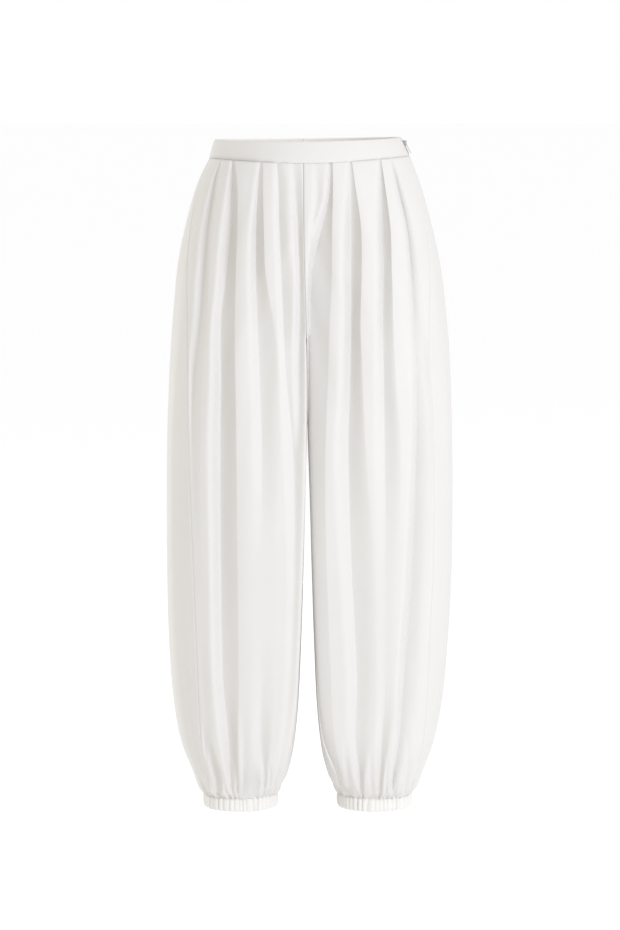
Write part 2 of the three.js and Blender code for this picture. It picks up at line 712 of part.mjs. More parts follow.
// Slider: a plate on the band, a neck through the closure to the tape, and the bail on the plate.
function zipSlider() {
  const face = plate(roundedOutline(SLIDER.width, SLIDER.height, SLIDER.corner, 0), SLIDER.off, SLIDER.thick);
  const neckEnd = SEAM_GAP - CLOSURE_LEAN * (BAND_WALL + ZIP_TAPE.clear_band);
  const neckSide = SLIDER.neck / 2;
  const neck = block([neckEnd, SLIDER.off + JOIN], [-neckSide, neckSide], [-SLIDER.neck_height, 0]);
  const half = BAIL.window + BAIL.wall;
  const side = [-BAIL.width / 2, BAIL.width / 2];
  const bail = block([PLATE_FACE - JOIN, AXLE_X + half], side, [BAIL.rise - half, BAIL.rise + half]);
  const window = block(
    [PLATE_FACE, AXLE_X + BAIL.window],
    [side[0] - JOIN, side[1] + JOIN],
    [BAIL.rise - BAIL.window, BAIL.rise + BAIL.window],
  );
  const made = solid(face).add(solid(neck)).add(solid(bail).subtract(solid(window)));
  return piece("zip_slider", geometryOf(made), "slider");
}

// Pull tab, hanging from its bar, which passes through the bail.
function zipPullTab() {
  const middle = (TAB.bar - TAB.length) / 2;
  const shape = roundedOutline(TAB.width, TAB.length, TAB.corner, middle);
  const slot = new THREE.Path();
  const [w, top, foot] = [TAB.slot_width / 2, -TAB.bar / 2, -TAB.slot_foot];
  slot.moveTo(-w, top).lineTo(w, top).lineTo(w, foot).lineTo(-w, foot).closePath();
  shape.holes.push(slot);
  const geometry = plate(shape, AXLE_X - TAB.thick / 2, TAB.thick).translate(0, 0, BAIL.rise);
  return piece("zip_pull_tab", geometry, "slider");
}

// Hook on the inside of the band's front end: it reaches over the closure and turns back.
function hook() {
  const near = -(BAND_WALL + HOOK.off);
  const back = near - HOOK.thick;
  const bill = back - HOOK.throat;
  const outline = [
    [near, -HOOK.plate],
    [near, HOOK.reach],
    [bill - HOOK.thick, HOOK.reach],
    [bill - HOOK.thick, HOOK.reach - HOOK.bill],
    [bill, HOOK.reach - HOOK.bill],
    [bill, HOOK.reach - HOOK.thick],
    [back, HOOK.reach - HOOK.thick],
    [back, -HOOK.plate],
  ];
  const shape = new THREE.Shape(outline.map(([x, y]) => new THREE.Vector2(x, y)));
  const options = { depth: HOOK.height, bevelEnabled: false };
  const geometry = new THREE.ExtrudeGeometry(shape, options).translate(0, 0, -HOOK.height / 2);
  return piece("hook", geometry, "wire");
}

// Eye on the inside of the band's back end: a frame whose bar lies in the hook, on a thicker foot.
function eye() {
  const near = -(BAND_WALL + EYE.off);
  const front = -(BAND_WALL + HOOK.off + HOOK.thick + SEAM_GAP);
  const rod = EYE.height / 2;
  const frame = block([front - EYE.wire, front], [EYE.start, EYE.length], [-rod, rod]);
  const foot = block([front - EYE.wire, near], [EYE.length - EYE.foot, EYE.length], [-rod, rod]);
  const hole = block(
    [front - EYE.wire - JOIN, front + JOIN],
    [EYE.start + EYE.bar, EYE.length - EYE.foot - EYE.rim],
    [EYE.wire - rod, rod - EYE.wire],
  );
  const made = solid(frame).subtract(solid(hole)).add(solid(foot));
  return piece("eye", geometryOf(made), "wire");
}

const part = new THREE.Group();
for (const leg of [LEFT, RIGHT]) {
  part.add(legPanel(leg, FRONT), legPanel(leg, BACK), cuff(leg));
}
part.add(...waistband());
part.add(zipTape());
const zipPlace = closureFrame(SLIDER_Z);
zipPlace.add(zipSlider(), zipPullTab());
const fastenerPlace = closureFrame(FASTENER_Z);
fastenerPlace.add(hook(), eye());
part.add(zipPlace, fastenerPlace);

export default part;
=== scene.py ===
"""Looks of a shalwar: pleated loose trousers on a plain waistband, gathered into two elastic cuffs.

Lengths are millimetres here and become metres when a mesh is made. Left and right are the wearer's, so
left is +X, and the front looks towards -Y. The waistband's middle is the origin.
"""

import math

import bpy
import numpy as np
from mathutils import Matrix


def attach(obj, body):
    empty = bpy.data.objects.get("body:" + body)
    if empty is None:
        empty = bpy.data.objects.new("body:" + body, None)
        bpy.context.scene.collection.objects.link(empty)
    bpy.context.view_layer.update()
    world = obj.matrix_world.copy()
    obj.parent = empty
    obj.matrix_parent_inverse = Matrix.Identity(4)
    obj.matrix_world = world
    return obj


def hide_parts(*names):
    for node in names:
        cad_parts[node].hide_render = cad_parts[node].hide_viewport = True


MM = 0.001

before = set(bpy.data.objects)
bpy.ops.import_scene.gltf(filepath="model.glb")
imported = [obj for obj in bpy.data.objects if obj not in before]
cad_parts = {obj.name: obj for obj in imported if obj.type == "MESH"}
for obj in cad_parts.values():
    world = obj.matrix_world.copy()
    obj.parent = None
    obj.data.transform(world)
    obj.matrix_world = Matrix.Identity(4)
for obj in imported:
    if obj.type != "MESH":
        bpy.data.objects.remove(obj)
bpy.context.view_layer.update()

# Camera, a little above the waist, looking down.
CAMERA_PLACE = (3.5, -4350.0, 129.5)
CAMERA_PITCH = 7.577
CAMERA_LENS = 119.28
CAMERA_SENSOR = 36

# Lamps: name, place and size in metres, watts, colour. They all look at one place.
LAMPS = (
    ("key", (2.2, -3.2, 0.6), 1.8, 96.0, (0.85, 0.93, 1.09)),
    ("side", (-2.95, 1.65, 0.4), 1.6, 40.0, (0.95, 0.98, 1.0)),
)
LAMP_AIM = (0.0, 0.0, -0.45)

# Floor: half its width and its distance below the hem, in metres, and its tone and roughness.
FLOOR_HALF = 60.0
FLOOR_DROP = 0.35
FLOOR_TONE = 0.985
FLOOR_ROUGHNESS = 0.9

# Heights of the main seams.
WAIST_Z = -12.0
FORK_Z = -262.0
CUFF_SEAM_Z = -922.5
HEM_Z = -944.5

# Above the fork the middle plane cuts the inner half of each leg's section. The share that it leaves
# grows from the least one to all of it at the fork, later with a higher fall, softer with a higher round.
LEAST_CUT = 0.02
FORK_FALL = 5
FORK_ROUND = 2.2
# Least distance of a panel's first edge from the plane between front and back.
HALF_GAP = 0.15

# Waistband: heights of its edges at the sides, their tilt and their dip in the middle, the rings that
# they follow, and how far the band stands off them.
BAND_TOP_Z = 14.4
BAND_LOW_Z = -12.1
BAND_TILT = 1.6
BAND_TOP_DIP = 2.7
BAND_LOW_DIP = 5.8
BAND_TOP_RING = {"left": 130.8, "right": 129.9, "depth": 88.0}
BAND_LOW_RING = {"left": 143.2, "right": 137.6, "depth": 92.0}
BAND_PROUD = 0.8
BAND_WALL = 3.0
# Its section: powers that square it across and upwards, and the swell of its outer face.
BAND_SQUARE = (0.45, 0.28)
BAND_BELLY = 0.45
# Slow waves of its outer face: count round the waist, height, phase; and the share of them that shows.
BAND_WAVES = ((7, 0.22, 0.4), (13, 0.14, 2.1), (24, 0.07, 0.9))
BAND_WAVE_SHARE = 0.6
# Its ends: half the slit of a seam, and how far the outer face turns in beside it.
BAND_SEAM = 0.1
BAND_END_TUCK = 0.7
BAND_END_REACH = 0.9
BAND_PROFILE_POINTS = 40
BAND_STATION_STEP = 1.6
BAND_MEAN_RADIUS = 115
# The closure, just in front of the left side: cosine of its angle from there, and its open width.
CLOSURE_SHARE = 0.9925
CLOSURE_GAP = 1.6

# Cloth of the legs. Its top follows the band's lower edge and runs up behind it by the tuck, where it is
# drawn in a little. Its rows are level again from the blend's height down.
CLOTH_WALL = 0.8
SEAM_TUCK = 1.0
WAIST_BLEND_Z = -85.0
WAIST_DIP = 0.5
WAIST_DIP_REACH = 2.0

# The two faces, with the share of the folds' depth that each has, and the two legs, with the phases by
# which their ribs, gathers and slow waves differ.
FRONT = {"sign": 1, "name": "front", "other": "back", "fold_share": 1}
BACK = {"sign": -1, "name": "back", "other": "front", "fold_share": 0.9}
LEFT = {"side": 1, "name": "left", "rib": 0.7, "gather": 0.0, "drape": 0.0}
RIGHT = {"side": -1, "name": "right", "rib": 2.3, "gather": 1.3, "drape": 0.9}


def table(columns, *rows):
    """A table as one array for each named column."""
    values = np.array(rows, float)
    return {name: values[:, i] for i, name in enumerate(columns.split())}


def along(rows, column, z):
    """One column of a table at heights z, on a smooth curve through its rows, which run down."""
    height, value = rows["z"], rows[column]
    last = len(height) - 1
    slope = np.empty(last + 1)
    for i in range(last + 1):
        low, high = max(i - 1, 0), min(i + 1, last)
        slope[i] = (value[high] - value[low]) / (height[high] - height[low])
    z = np.asarray(z, float)
    after = np.clip(np.searchsorted(-height, -z, side="left"), 1, last)
    span = height[after] - height[after - 1]
    t = np.clip((z - height[after - 1]) / span, 0, 1)
    s = 1 - t
    ends = value[after - 1] * s * s * (1 + 2 * t) + value[after] * t * t * (3 - 2 * t)
    return ends + span * (slope[after - 1] * t * s * s - slope[after] * t * t * s)


def smooth(t):
    """A rise from 0 to 1 that is level at both ends."""
    t = np.clip(t, 0, 1)
    return t * t * (3 - 2 * t)


def bell(distance, reach):
    """A bump of height 1 round distance 0."""
    return np.exp(-((distance / reach) ** 2))


def squared(value, power):
    """A cosine or sine that draws a squarer ring the lower the power is."""
    return np.sign(value) * np.abs(value) ** power


def wandering(base, terms, theta, shift=0.0):
    """A base that wanders along theta by terms of count, size and start."""
    for count, size, start in terms:
        base = base + size * np.sin(count * theta + start + shift)
    return base


# Body of the garment: reach of the two sides, half the gap between the legs, reach of front and back.
BODY = table(
    "z left right gap front back",
    (-12, 143.2, 137.6, 0.2, 92, 92),
    (-50, 158.5, 155.5, 0.2, 100, 101),
    (-100, 173.3, 170.5, 0.2, 107, 111),
    (-160, 187, 183, 0.2, 112, 120),
    (-220, 195, 189, 0.15, 115, 126),
    (-290, 201.3, 194.3, 0.12, 115, 126),
    (-370, 204.6, 198, 0.12, 112, 121),
    (-400, 205.4, 199, 0.5, 111, 119),
    (-470, 206.6, 200.3, 2.6, 108, 114),
    (-590, 206, 200.3, 6.2, 105, 109),
    (-700, 201, 198, 10.2, 101, 104),
    (-790, 193, 191.7, 14.5, 93, 95),
    (-850, 181.5, 181.5, 20.5, 83, 84),
    (-893, 166.5, 165.5, 29.5, 69, 70),
    (-912, 158.5, 158.5, 38.5, 57, 57),
    (CUFF_SEAM_Z, 150.5, 150.5, 42.5, 46.5, 46.5),
)

# Place of each side seam, as a share of its leg's outer half.
SIDE_SEAMS = table(
    "z left right",
    (-12, 0.9925, 0.9925),
    (-50, 0.975, 0.975),
    (-100, 0.95, 0.94),
    (-160, 0.9, 0.89),
    (-220, 0.82, 0.83),
    (-290, 0.74, 0.76),
    (-370, 0.73, 0.7),
    (-470, 0.72, 0.64),
    (-590, 0.71, 0.59),
    (-700, 0.7, 0.56),
    (-790, 0.73, 0.57),
    (-850, 0.77, 0.61),
    (-893, 0.82, 0.66),
    (-912, 0.85, 0.69),
    (CUFF_SEAM_Z, 0.87, 0.72),
)

# Middle of each leg's section, as a share of the way from its inner side to its outer side.
LEG_MIDDLE = table(
    "z share",
    (-12, 0.01),
    (-60, 0.04),
    (-110, 0.11),
    (-160, 0.2),
    (-220, 0.31),
    (-300, 0.42),
    (-400, 0.49),
    (-500, 0.5),
    (CUFF_SEAM_Z, 0.5),
)

# Squareness of the legs' inner halves, where they press together, and of the outer halves: 2 is an
# oval, more is squarer.
INNER_SQUARE = table(
    "z power",
    (-12, 40),
    (-340, 40),
    (-560, 40),
    (-740, 34),
    (-830, 12),
    (-880, 4.6),
    (-912, 2.4),
    (CUFF_SEAM_Z, 2),
)
OUTER_SQUARE = 2.2

# The centre seams lean to the right at the waist and come back to the middle plane below the fork.
CENTRE_LEAN = table("z x", (-12, -5.5), (-140, -4.6), (FORK_Z, -1.2), (-480, 0), (HEM_Z, 0))

# Pleats of the front, outwards from the centre seam. The cloth falls softly over the width of fall to
# the crease, then rises to the edge. crease and edge are distances from the middle plane. keen tells
# how sharp the crease and the edge are, from 0 for a soft roll to 1, at the waist and at knee height.
PLEAT_COLUMNS = "z crease edge deep fall"
KNEE_Z = -560.0


def pleat(keen_crease, keen_edge, *rows):
    """A fold, from how keen it is and the rows of its table."""
    return {"keen_crease": keen_crease, "keen_edge": keen_edge, "rows": table(PLEAT_COLUMNS, *rows)}


PLEATS_LEFT = (
    pleat(
        (0.8, 0.5),
        (0.1, 0.1),
        (-12, 13, 24, 0.8, 8),
        (-45, 13, 24, 2.5, 8),
        (-68, 12.5, 25, 3.5, 8),
        (-109, 8, 22, 3, 8),
        (-150, 6, 20, 0, 6),
    ),
    pleat(
        (0.3, 0.9),
        (1, 1),
        (-12, 31.5, 34.4, 2, 4),
        (-45, 30.5, 35.1, 4, 6),
        (-68, 28.5, 34.8, 5.5, 8),
        (-109, 19, 33.8, 9, 12),
        (-150, 9, 33.8, 11, 10),
        (-190, 4.5, 33, 11.5, 6),
        (-239, 2, 30.4, 11, 3),
        (-315, 1, 28.4, 10.5, 3),
        (-413, 0.5, 24.9, 10.5, 3),
        (-500, 2.5, 25, 9, 3),
        (-567, 5, 26.5, 7.5, 3),
        (-739, 13, 32.9, 5.6, 4),
        (-828, 22, 38.1, 4.2, 4),
        (-888, 43.3, 49.7, 3, 5),
        (CUFF_SEAM_Z, 47.8, 53.5, 2, 4),
    ),
    pleat(
        (0.3, 0.3),
        (1, 0.2),
        (-12, 58.5, 61.2, 1.6, 4),
        (-45, 59.2, 65.4, 4, 8),
        (-109, 60, 73.8, 10, 14),
        (-170, 60.1, 74.6, 10.5, 16),
        (-239, 60.1, 73.2, 9.5, 14),
        (-315, 58.8, 76, 10, 16),
        (-413, 57, 81, 9.5, 20),
        (-567, 61, 94, 6.5, 18),
        (-739, 69.4, 99, 5.5, 14),
        (-828, 68, 94, 4.5, 12),
        (-888, 74.6, 81.7, 4, 8),
        (CUFF_SEAM_Z, 78, 84, 2.5, 6),
    ),
    pleat(
        (0.6, 0.2),
        (0.9, 0.2),
        (-12, 99.8, 101.8, 1.5, 3),
        (-45, 102.5, 106.6, 4.5, 8),
        (-109, 104.1, 115.1, 9.5, 10),
        (-170, 105, 116.7, 9.5, 12),
        (-239, 104.3, 118.2, 8, 12),
        (-315, 105.9, 122.5, 7, 14),
        (-413, 107.4, 129.6, 5, 16),
        (-567, 109.4, 128.9, 0.8, 14),
        (-739, 110, 129.7, 0.6, 12),
        (-828, 105.1, 117.8, 3, 10),
        (-888, 103, 108.7, 3, 6),
        (CUFF_SEAM_Z, 102, 106.4, 2, 4),
    ),
    pleat(
        (1, 0.5),
        (0.5, 0.1),
        (-12, 116.3, 120.4, 1.5, 3),
        (-45, 123.8, 128.7, 4, 6),
        (-109, 138, 147, 6.5, 8),
        (-170, 144.5, 155.5, 6.5, 8),
        (-239, 149, 166.5, 7, 8),
        (-315, 152, 174, 8, 10),
        (-413, 152, 180, 11, 10),
        (-567, 147, 178, 11, 12),
        (-739, 136, 165, 9.5, 12),
        (-828, 130, 151, 6.5, 8),
        (-888, 122.2, 134.3, 4.5, 6),
        (CUFF_SEAM_Z, 120.7, 129.2, 2.5, 5),
    ),
)
PLEATS_RIGHT = (
    pleat(
        (0.1, 0.1),
        (0.8, 0.3),
        (-12, 20, 9, 1, 6),
        (-45, 18, 7, 3, 6),
        (-109, 14, 5.4, 4.5, 8),
        (-170, 11, 4.2, 4.5, 8),
        (-239, 12, 1, 5.5, 8),
        (-300, 13, 0.5, 5.5, 8),
        (-360, 12, 0.5, 3.5, 8),
        (-420, 12, 1.5, 0, 8),
    ),
    pleat(
        (0.6, 0),
        (0.1, 0),
        (-12, 42, 32.3, 1.5, 6),
        (-45, 40, 26.8, 3, 8),
        (-109, 38.5, 25, 4.2, 8),
        (-170, 36, 20, 3.6, 8),
        (-239, 33, 14, 3.5, 10),
        (-315, 29, 8, 3, 12),
        (-413, 20, 1.5, 4.5, 16),
        (-567, 18, 6, 2.5, 12),
        (-739, 24, 13, 1.5, 10),
        (-828, 33, 22, 1.2, 8),
        (-888, 44.8, 39, 2.2, 5),
        (CUFF_SEAM_Z, 50.7, 45, 1.5, 4),
    ),
    pleat(
        (0.5, 0),
        (0.9, 0),
        (-12, 65.4, 61.2, 1.6, 3),
        (-45, 68, 61.2, 3.5, 6),
        (-109, 70.5, 60, 7.5, 10),
        (-170, 71, 57.5, 8, 12),
        (-239, 69, 46, 7, 12),
        (-315, 66, 38, 5.5, 14),
        (-413, 63, 38, 4.5, 14),
        (-567, 63.4, 44, 0.4, 14),
        (-739, 63.8, 44.2, 0.5, 12),
        (-828, 65.6, 50, 2.5, 10),
        (-888, 61.8, 56, 2.2, 5),
        (CUFF_SEAM_Z, 65, 60.7, 1.5, 4),
    ),
    pleat(
        (0.15, 0.15),
        (1, 0.9),
        (-12, 103.9, 100.5, 1.8, 3),
        (-45, 105.5, 97, 5.5, 6),
        (-109, 107.5, 97.2, 9, 14),
        (-170, 112, 98.7, 9.5, 16),
        (-239, 119.5, 100.2, 9.5, 16),
        (-315, 119.7, 99.6, 11, 16),
        (-413, 121.3, 98.4, 13, 18),
        (-567, 121.5, 97.6, 12, 16),
        (-739, 119, 96.7, 9, 16),
        (-828, 112, 98, 8, 15),
        (-888, 110, 98, 6, 8),
        (CUFF_SEAM_Z, 108.5, 101.4, 3.5, 5),
    ),
    pleat(
        (0.25, 0),
        (1, 0.1),
        (-12, 120.4, 117, 1.6, 3),
        (-45, 130, 121.8, 4.5, 5),
        (-109, 139, 130.3, 6.5, 12),
        (-170, 145, 136, 6, 12),
        (-239, 151, 140, 4.5, 12),
        (-315, 159, 145.3, 3, 12),
        (-413, 162.9, 149, 1.2, 12),
        (-567, 163.8, 147, 0.3, 12),
        (-739, 150.7, 139.5, 0.3, 12),
        (-828, 143, 134.8, 0.4, 12),
        (-888, 130, 120, 4.5, 8),
        (CUFF_SEAM_Z, 126, 120.7, 2.5, 5),
    ),
)

# Gathers: short folds over the cuffs, in the same columns.
GATHER_KEEN = (0.4, 0.4)


def gather(*rows):
    return pleat(GATHER_KEEN, GATHER_KEEN, *rows)


GATHERS_LEFT = (
    gather(
        (-800, 56, 62, 0, 6),
        (-850, 55, 62, 1.4, 6),
        (-888, 57, 62, 2.6, 4),
        (CUFF_SEAM_Z, 63, 67, 1.6, 3),
    ),
    gather((-840, 88, 94, 0, 5), (-888, 90, 94.5, 1.4, 4), (CUFF_SEAM_Z, 92, 96, 1.8, 3)),
    gather((-820, 141, 149, 0, 6), (-888, 142, 148, 2, 4), (CUFF_SEAM_Z, 136, 140, 1.6, 3)),
    gather((-850, 112, 117, 0, 3), (-888, 112, 116, 1, 3), (CUFF_SEAM_Z, 111, 115, 1.5, 3)),
)
GATHERS_RIGHT = (
    gather(
        (-780, 92, 82, 0, 6),
        (-850, 90, 81, 1.6, 6),
        (-888, 90, 84, 3, 4),
        (CUFF_SEAM_Z, 92, 88, 2, 3),
    ),
    gather((-840, 80, 75, 0, 5), (-888, 81, 77, 2, 3), (CUFF_SEAM_Z, 82, 79, 1.6, 3)),
    gather((-800, 72, 66, 0, 5), (-888, 71, 67, 2.2, 3), (CUFF_SEAM_Z, 73, 70, 1.6, 3)),
    gather((-800, 147, 141, 0, 5), (-888, 146, 140, 2.6, 4), (CUFF_SEAM_Z, 138, 133, 1.8, 3)),
    gather((-860, 55, 51, 0, 4), (-888, 53, 50, 1.4, 3), (CUFF_SEAM_Z, 57, 54, 1.4, 2)),
)
FOLDS = {"left": PLEATS_LEFT + GATHERS_LEFT, "right": PLEATS_RIGHT + GATHERS_RIGHT}

# How much deeper than its table a fold sinks, the least width of its two slopes, and how far past its
# first and last row it shows.
FOLD_DEPTH = 1.5
LEAST_SLOPE = 1
FOLD_END = 1
# Beyond a keen edge the cloth stands lower by a share of the fold's depth, and rises again over a reach
# that differs at the waist and at knee height.
ROLL_SHARE = 0.13
ROLL_REACH = (9.0, 20.0)
# How steeply a keen edge is reached, at the waist and at knee height.
EDGE_STEEP = (1.8, 0.9)
# Least share of a surface that must face front or back to carry the whole of a fold, and the distance
# over which folds fade at the side seam.
FACING_SHARE = 0.35
SEAM_FADE = 8.0
# Share of a leg's depth over which the folds fade on its inner half.
INNER_FADE = 0.6

# Seams between panels: the cloth turns in at its edge, with a soft ridge of seam allowance beside it,
# higher at a panel's first edge than at its side seam. Both fade out round the fork at the first edge.
SEAM_TURN = 0.5
SEAM_TURN_REACH = 0.9
SEAM_RIDGE = (0.12, 0.1)
SEAM_RIDGE_PLACE = 4.5
SEAM_RIDGE_REACH = 2.2
SEAM_FORK_FADE = 25.0

# Gathers into the cuffs: fine ones at the seam, which the cuff's ribs go on from, and longer ruffles
# over them. A table of unevenness holds terms of count round the leg, size and start.
RIBS = 44
RIB_WANDER = ((3, 1.1, 0.4), (5, 1.0, 1.9), (8, 0.8, 4.1), (13, 0.6, 2.6), (19, 0.45, 0.9))
GATHER_HIGH = 1.5
GATHER_REACH = 10.0
GATHER_REACH_UNEVEN = ((7, 0.5, 1.1), (11, 0.3, 0))
RUFFLE_COUNT = 19
RUFFLE_WANDER = ((2, 1.4, 0), (5, 0.9, 2))
RUFFLE_HIGH = 2.3
RUFFLE_HIGH_UNEVEN = ((3, 0.5, 0.4), (7, 0.3, 2.2))
RUFFLE_MEAN = 1.3
RUFFLE_REACH = 24.0
RUFFLE_REACH_UNEVEN = ((4, 0.35, 0.6),)
# Share of the ruffles that is missing at the seam, and the height over which it comes back.
RUFFLE_SEAM_LOSS = 0.7
RUFFLE_SEAM_REACH = 6
# Deepest gather and deepest fold at the seam, and how much deeper they may go for each millimetre above.
DEEPEST_GATHER = 1.3
DEEPER_BY = 0.12
DEEPEST_FOOT_FOLD = 1.2
DEEPER_FOOT_FOLD = 0.4

# Slow waves of the hanging cloth: count round the leg, height, lean with height, phase. They grow in
# from the waist, and fade at the seams and, by a share over a reach, towards the cuff.
DRAPE_WAVES = ((9, 0.5, 0.7, 0.3), (14, 0.36, -1.0, 1.7), (21, 0.2, 1.6, 4.2), (31, 0.1, -2.2, 2.4))
DRAPE_SCALE = 300.0
DRAPE_GROWTH = 4
DRAPE_SEAM_FADE = 14
DRAPE_CUFF_LOSS = 0.6
DRAPE_CUFF_REACH = 60

# Columns of the cloth's mesh: close steps beside each seam, a strip round the inner corner, one on each
# slope of a pleat and on each flat between two pleats, and the last one to the side seam.
SEAM_STEPS = (0.4, 0.8, 1.3, 2, 3, 4.5, 6.5)
CORNER_REACH = 1.2
FIRST_COLUMNS = 36
STRIP_COLUMNS = 12
SEAM_COLUMNS = 12
WRAP_COLUMNS = 44
# Directions, in radians: the probe that tells a millimetre's turn, the least width of a strip, and what
# is left for the last one. The steps at the side seam take at most this share of it.
PROBE_TURN = 0.001
LEAST_TURN = 0.002
LAST_TURN = 0.03
LAST_STEPS_SHARE = 0.8
# Passes that find the place of a leaning point on its upright section.
LEAN_PASSES = 4

# Rows of the cloth's mesh: top, foot, count, and how much closer they come towards the foot.
ROWS = (
    (-12, -70, 22, 1.0),
    (-70, -236, 34, 1.0),
    (-236, FORK_Z, 15, 2.4),
    (FORK_Z, -780, 84, 1.0),
    (-780, -880, 26, 1.0),
    (-880, CUFF_SEAM_Z, 24, 1.0),
)

# Below the fork the two inner sides press together in a shallow bow, down to where they part.
PRESS_BOW = 1.6
PRESS_REACH = 12.0
PRESS_FOOT_Z = -395.0
PRESS_FADE = 25.0

# The cloth's foot bulges a little over its cuff and is turned in below it.
BLOUSE_HIGH = 1.3
BLOUSE_Z = -918.0
BLOUSE_REACH = 7.0
TURN_UNDER = table("z in", (CUFF_SEAM_Z, 0.0), (-923.4, 0.2), (-924.2, 0.6), (-924.8, 1.3))

# Cuffs: the ring, the share of their height that the section takes, and how far they may stand over
# the seam. Powers square the section across, at the top and at the foot.
CUFF_CENTRE_X = 96.5
CUFF_HALF_WIDTH = 53.5
CUFF_HALF_DEPTH = 46.0
CUFF_WALL = 3.4
CUFF_HIGH_SHARE = 0.985
CUFF_OVER_SEAM = 0.6
CUFF_SQUARE = {"across": 0.65, "top": 0.6, "foot": 0.85}
CUFF_STATIONS = 704
CUFF_PROFILE_POINTS = 36
# Ribs: height, sharpness, lean with height, and how strength and lean vary round the leg. The inside
# and the edges have less of them.
CUFF_RIB_HIGH = 0.85
CUFF_RIB_POWER = 0.8
CUFF_RIB_UNEVEN = ((6, 0.35, 0.8), (17, 0.25, 2.2))
CUFF_LEAN_HIGH = 0.35
CUFF_LEAN = ((3, 0.5, 1), (8, 0.4, 0))
CUFF_RIB_INSIDE = 0.35
CUFF_RIB_EDGE = 0.75
CUFF_OUTSIDE = {"from": 0.3, "reach": 0.8}
# How far the ribs draw the edges up and down, and how the top and foot are drawn in: depth, the share of
# the height from which on, and its reach.
CUFF_SCALLOP = 0.35
CUFF_TOP_TUCK = (0.9, 0.55, 0.45)
CUFF_FOOT_TUCK = (0.8, 0.5, 0.5)

# Zip tape inside the left side seam: its ends, wall and half width, its distances from band and leg, and
# its mesh, which has no rows from the band's foot down to leg_top.
ZIP_TAPE = {"top": 3.5, "foot": -150.0, "wall": 0.6, "half_width": 12.0, "clear_band": 1.4}
ZIP_TAPE |= {"clear_leg": 1.6, "over_band_foot": 0.1, "leg_top": -26}
ZIP_TAPE |= {"band_rows": 7, "leg_rows": 32, "columns": 17}
# Its teeth: pitch, distance from the middle, half sizes, distance from the tape and from its ends.
TOOTH = {"pitch": 1.5, "off": 0.8, "half_long": 1.3, "half_high": 0.42, "half_deep": 0.3}
TOOTH |= {"clear": 0.45, "below_top": 1, "above_foot": 3}
TOOTH_FACES = ((0, 1, 3, 2), (4, 6, 7, 5), (0, 4, 5, 1), (2, 3, 7, 6), (0, 2, 6, 4), (1, 5, 7, 3))

# Finish of the cloth: pitch of its threads, the two tones that it varies between, its tint in other
# places (lighter on the cuffs and on the band's inside, which is painted light, and a little darker on
# the zip tape), noise of slubs and tone, relief in metres, and gloss.
THREAD = 0.45
CLOTH_COLOUR = (0.576, 0.551, 0.511)
CLOTH_SHADE = (0.556, 0.531, 0.489)
CUFF_PAINTED_LIGHT_TINT = 1.12
PAINTED_LIGHT_INSIDE_TINT = 1.55
TAPE_TINT = 0.97
SLUB_NOISE = {"Scale": 900.0, "Detail": 3.0}
TONE_NOISE = {"Scale": 14.0, "Detail": 4.0}
SLUB_RELIEF = {"Strength": 0.25, "Distance": 0.12 * MM}
WEAVE_RELIEF = {"Strength": 0.2, "Distance": 0.05 * MM}
CLOTH_GLOSS = {"Roughness": 0.78, "Specular IOR Level": 0.25}
CLOTH_GLOSS |= {"Sheen Weight": 0.25, "Sheen Roughness": 0.45}
# A face of the band belongs to its inside, which gets painted light, when at least this share of it looks
# at the middle.
PAINTED_LIGHT_INWARD_SHARE = 0.5

# Finish of the metal and nylon: noise of wear, and how far it takes the roughness down and up.
WEAR_NOISE = {"Scale": 1500.0, "Detail": 3.0}
WEAR_SMOOTHER = 0.08
WEAR_ROUGHER = 0.12


def section(leg, z):
    """Section of one leg at heights z. Above the fork the middle plane cuts it."""

    def level(rows, name):
        return along(rows, name, z)[:, None]

    gap, reach = level(BODY, "gap"), level(BODY, leg["name"])
    fall = np.clip((z[:, None] - WAIST_Z) / (FORK_Z - WAIST_Z), 0, 1)
    cut = np.maximum(1 - (1 - fall**FORK_FALL) ** FORK_ROUND, LEAST_CUT)
    inside = (reach - gap) * level(LEG_MIDDLE, "share")
    return {
        "z": z[:, None],
        "gap": gap,
        "reach": reach,
        "middle": gap + inside,
        "inner": inside / cut,
        "outer": reach - gap - inside,
        "power": level(INNER_SQUARE, "power"),
        "front": level(BODY, "front"),
        "back": level(BODY, "back"),
        "lean": level(CENTRE_LEAN, "x") * leg["side"],
        "seam": level(SIDE_SEAMS, leg["name"]),
    }


def lean_at(cross, x):
    """How far the garment's lean moves a place at distance x from the middle plane."""
    return cross["lean"] * (1 - (x / cross["reach"]) ** 2)


def turn_at(cross, face, x):
    """Direction from the section's middle, from 0 at the inseam to pi at the outer side, of a place at
    distance x before the lean."""
    away = cross["middle"] - x
    inner = away > 0
    width = np.where(inner, cross["inner"], cross["outer"])
    power = np.where(inner, cross["power"], OUTER_SQUARE)
    share = np.minimum(np.abs(away) / width, 1)
    return np.arctan2(cross[face["name"]] * (1 - share**power) ** (1 / power), away)


def leaning_turn_at(cross, face, x):
    """The same, of a place at distance x in the finished garment."""
    upright = x
    for _ in range(LEAN_PASSES):
        upright = x - lean_at(cross, upright)
    return turn_at(cross, face, upright)


def side_seam_turn(cross):
    """Direction of the side seam, which lies in the front."""
    return turn_at(cross, FRONT, cross["middle"] + cross["outer"] * cross["seam"])


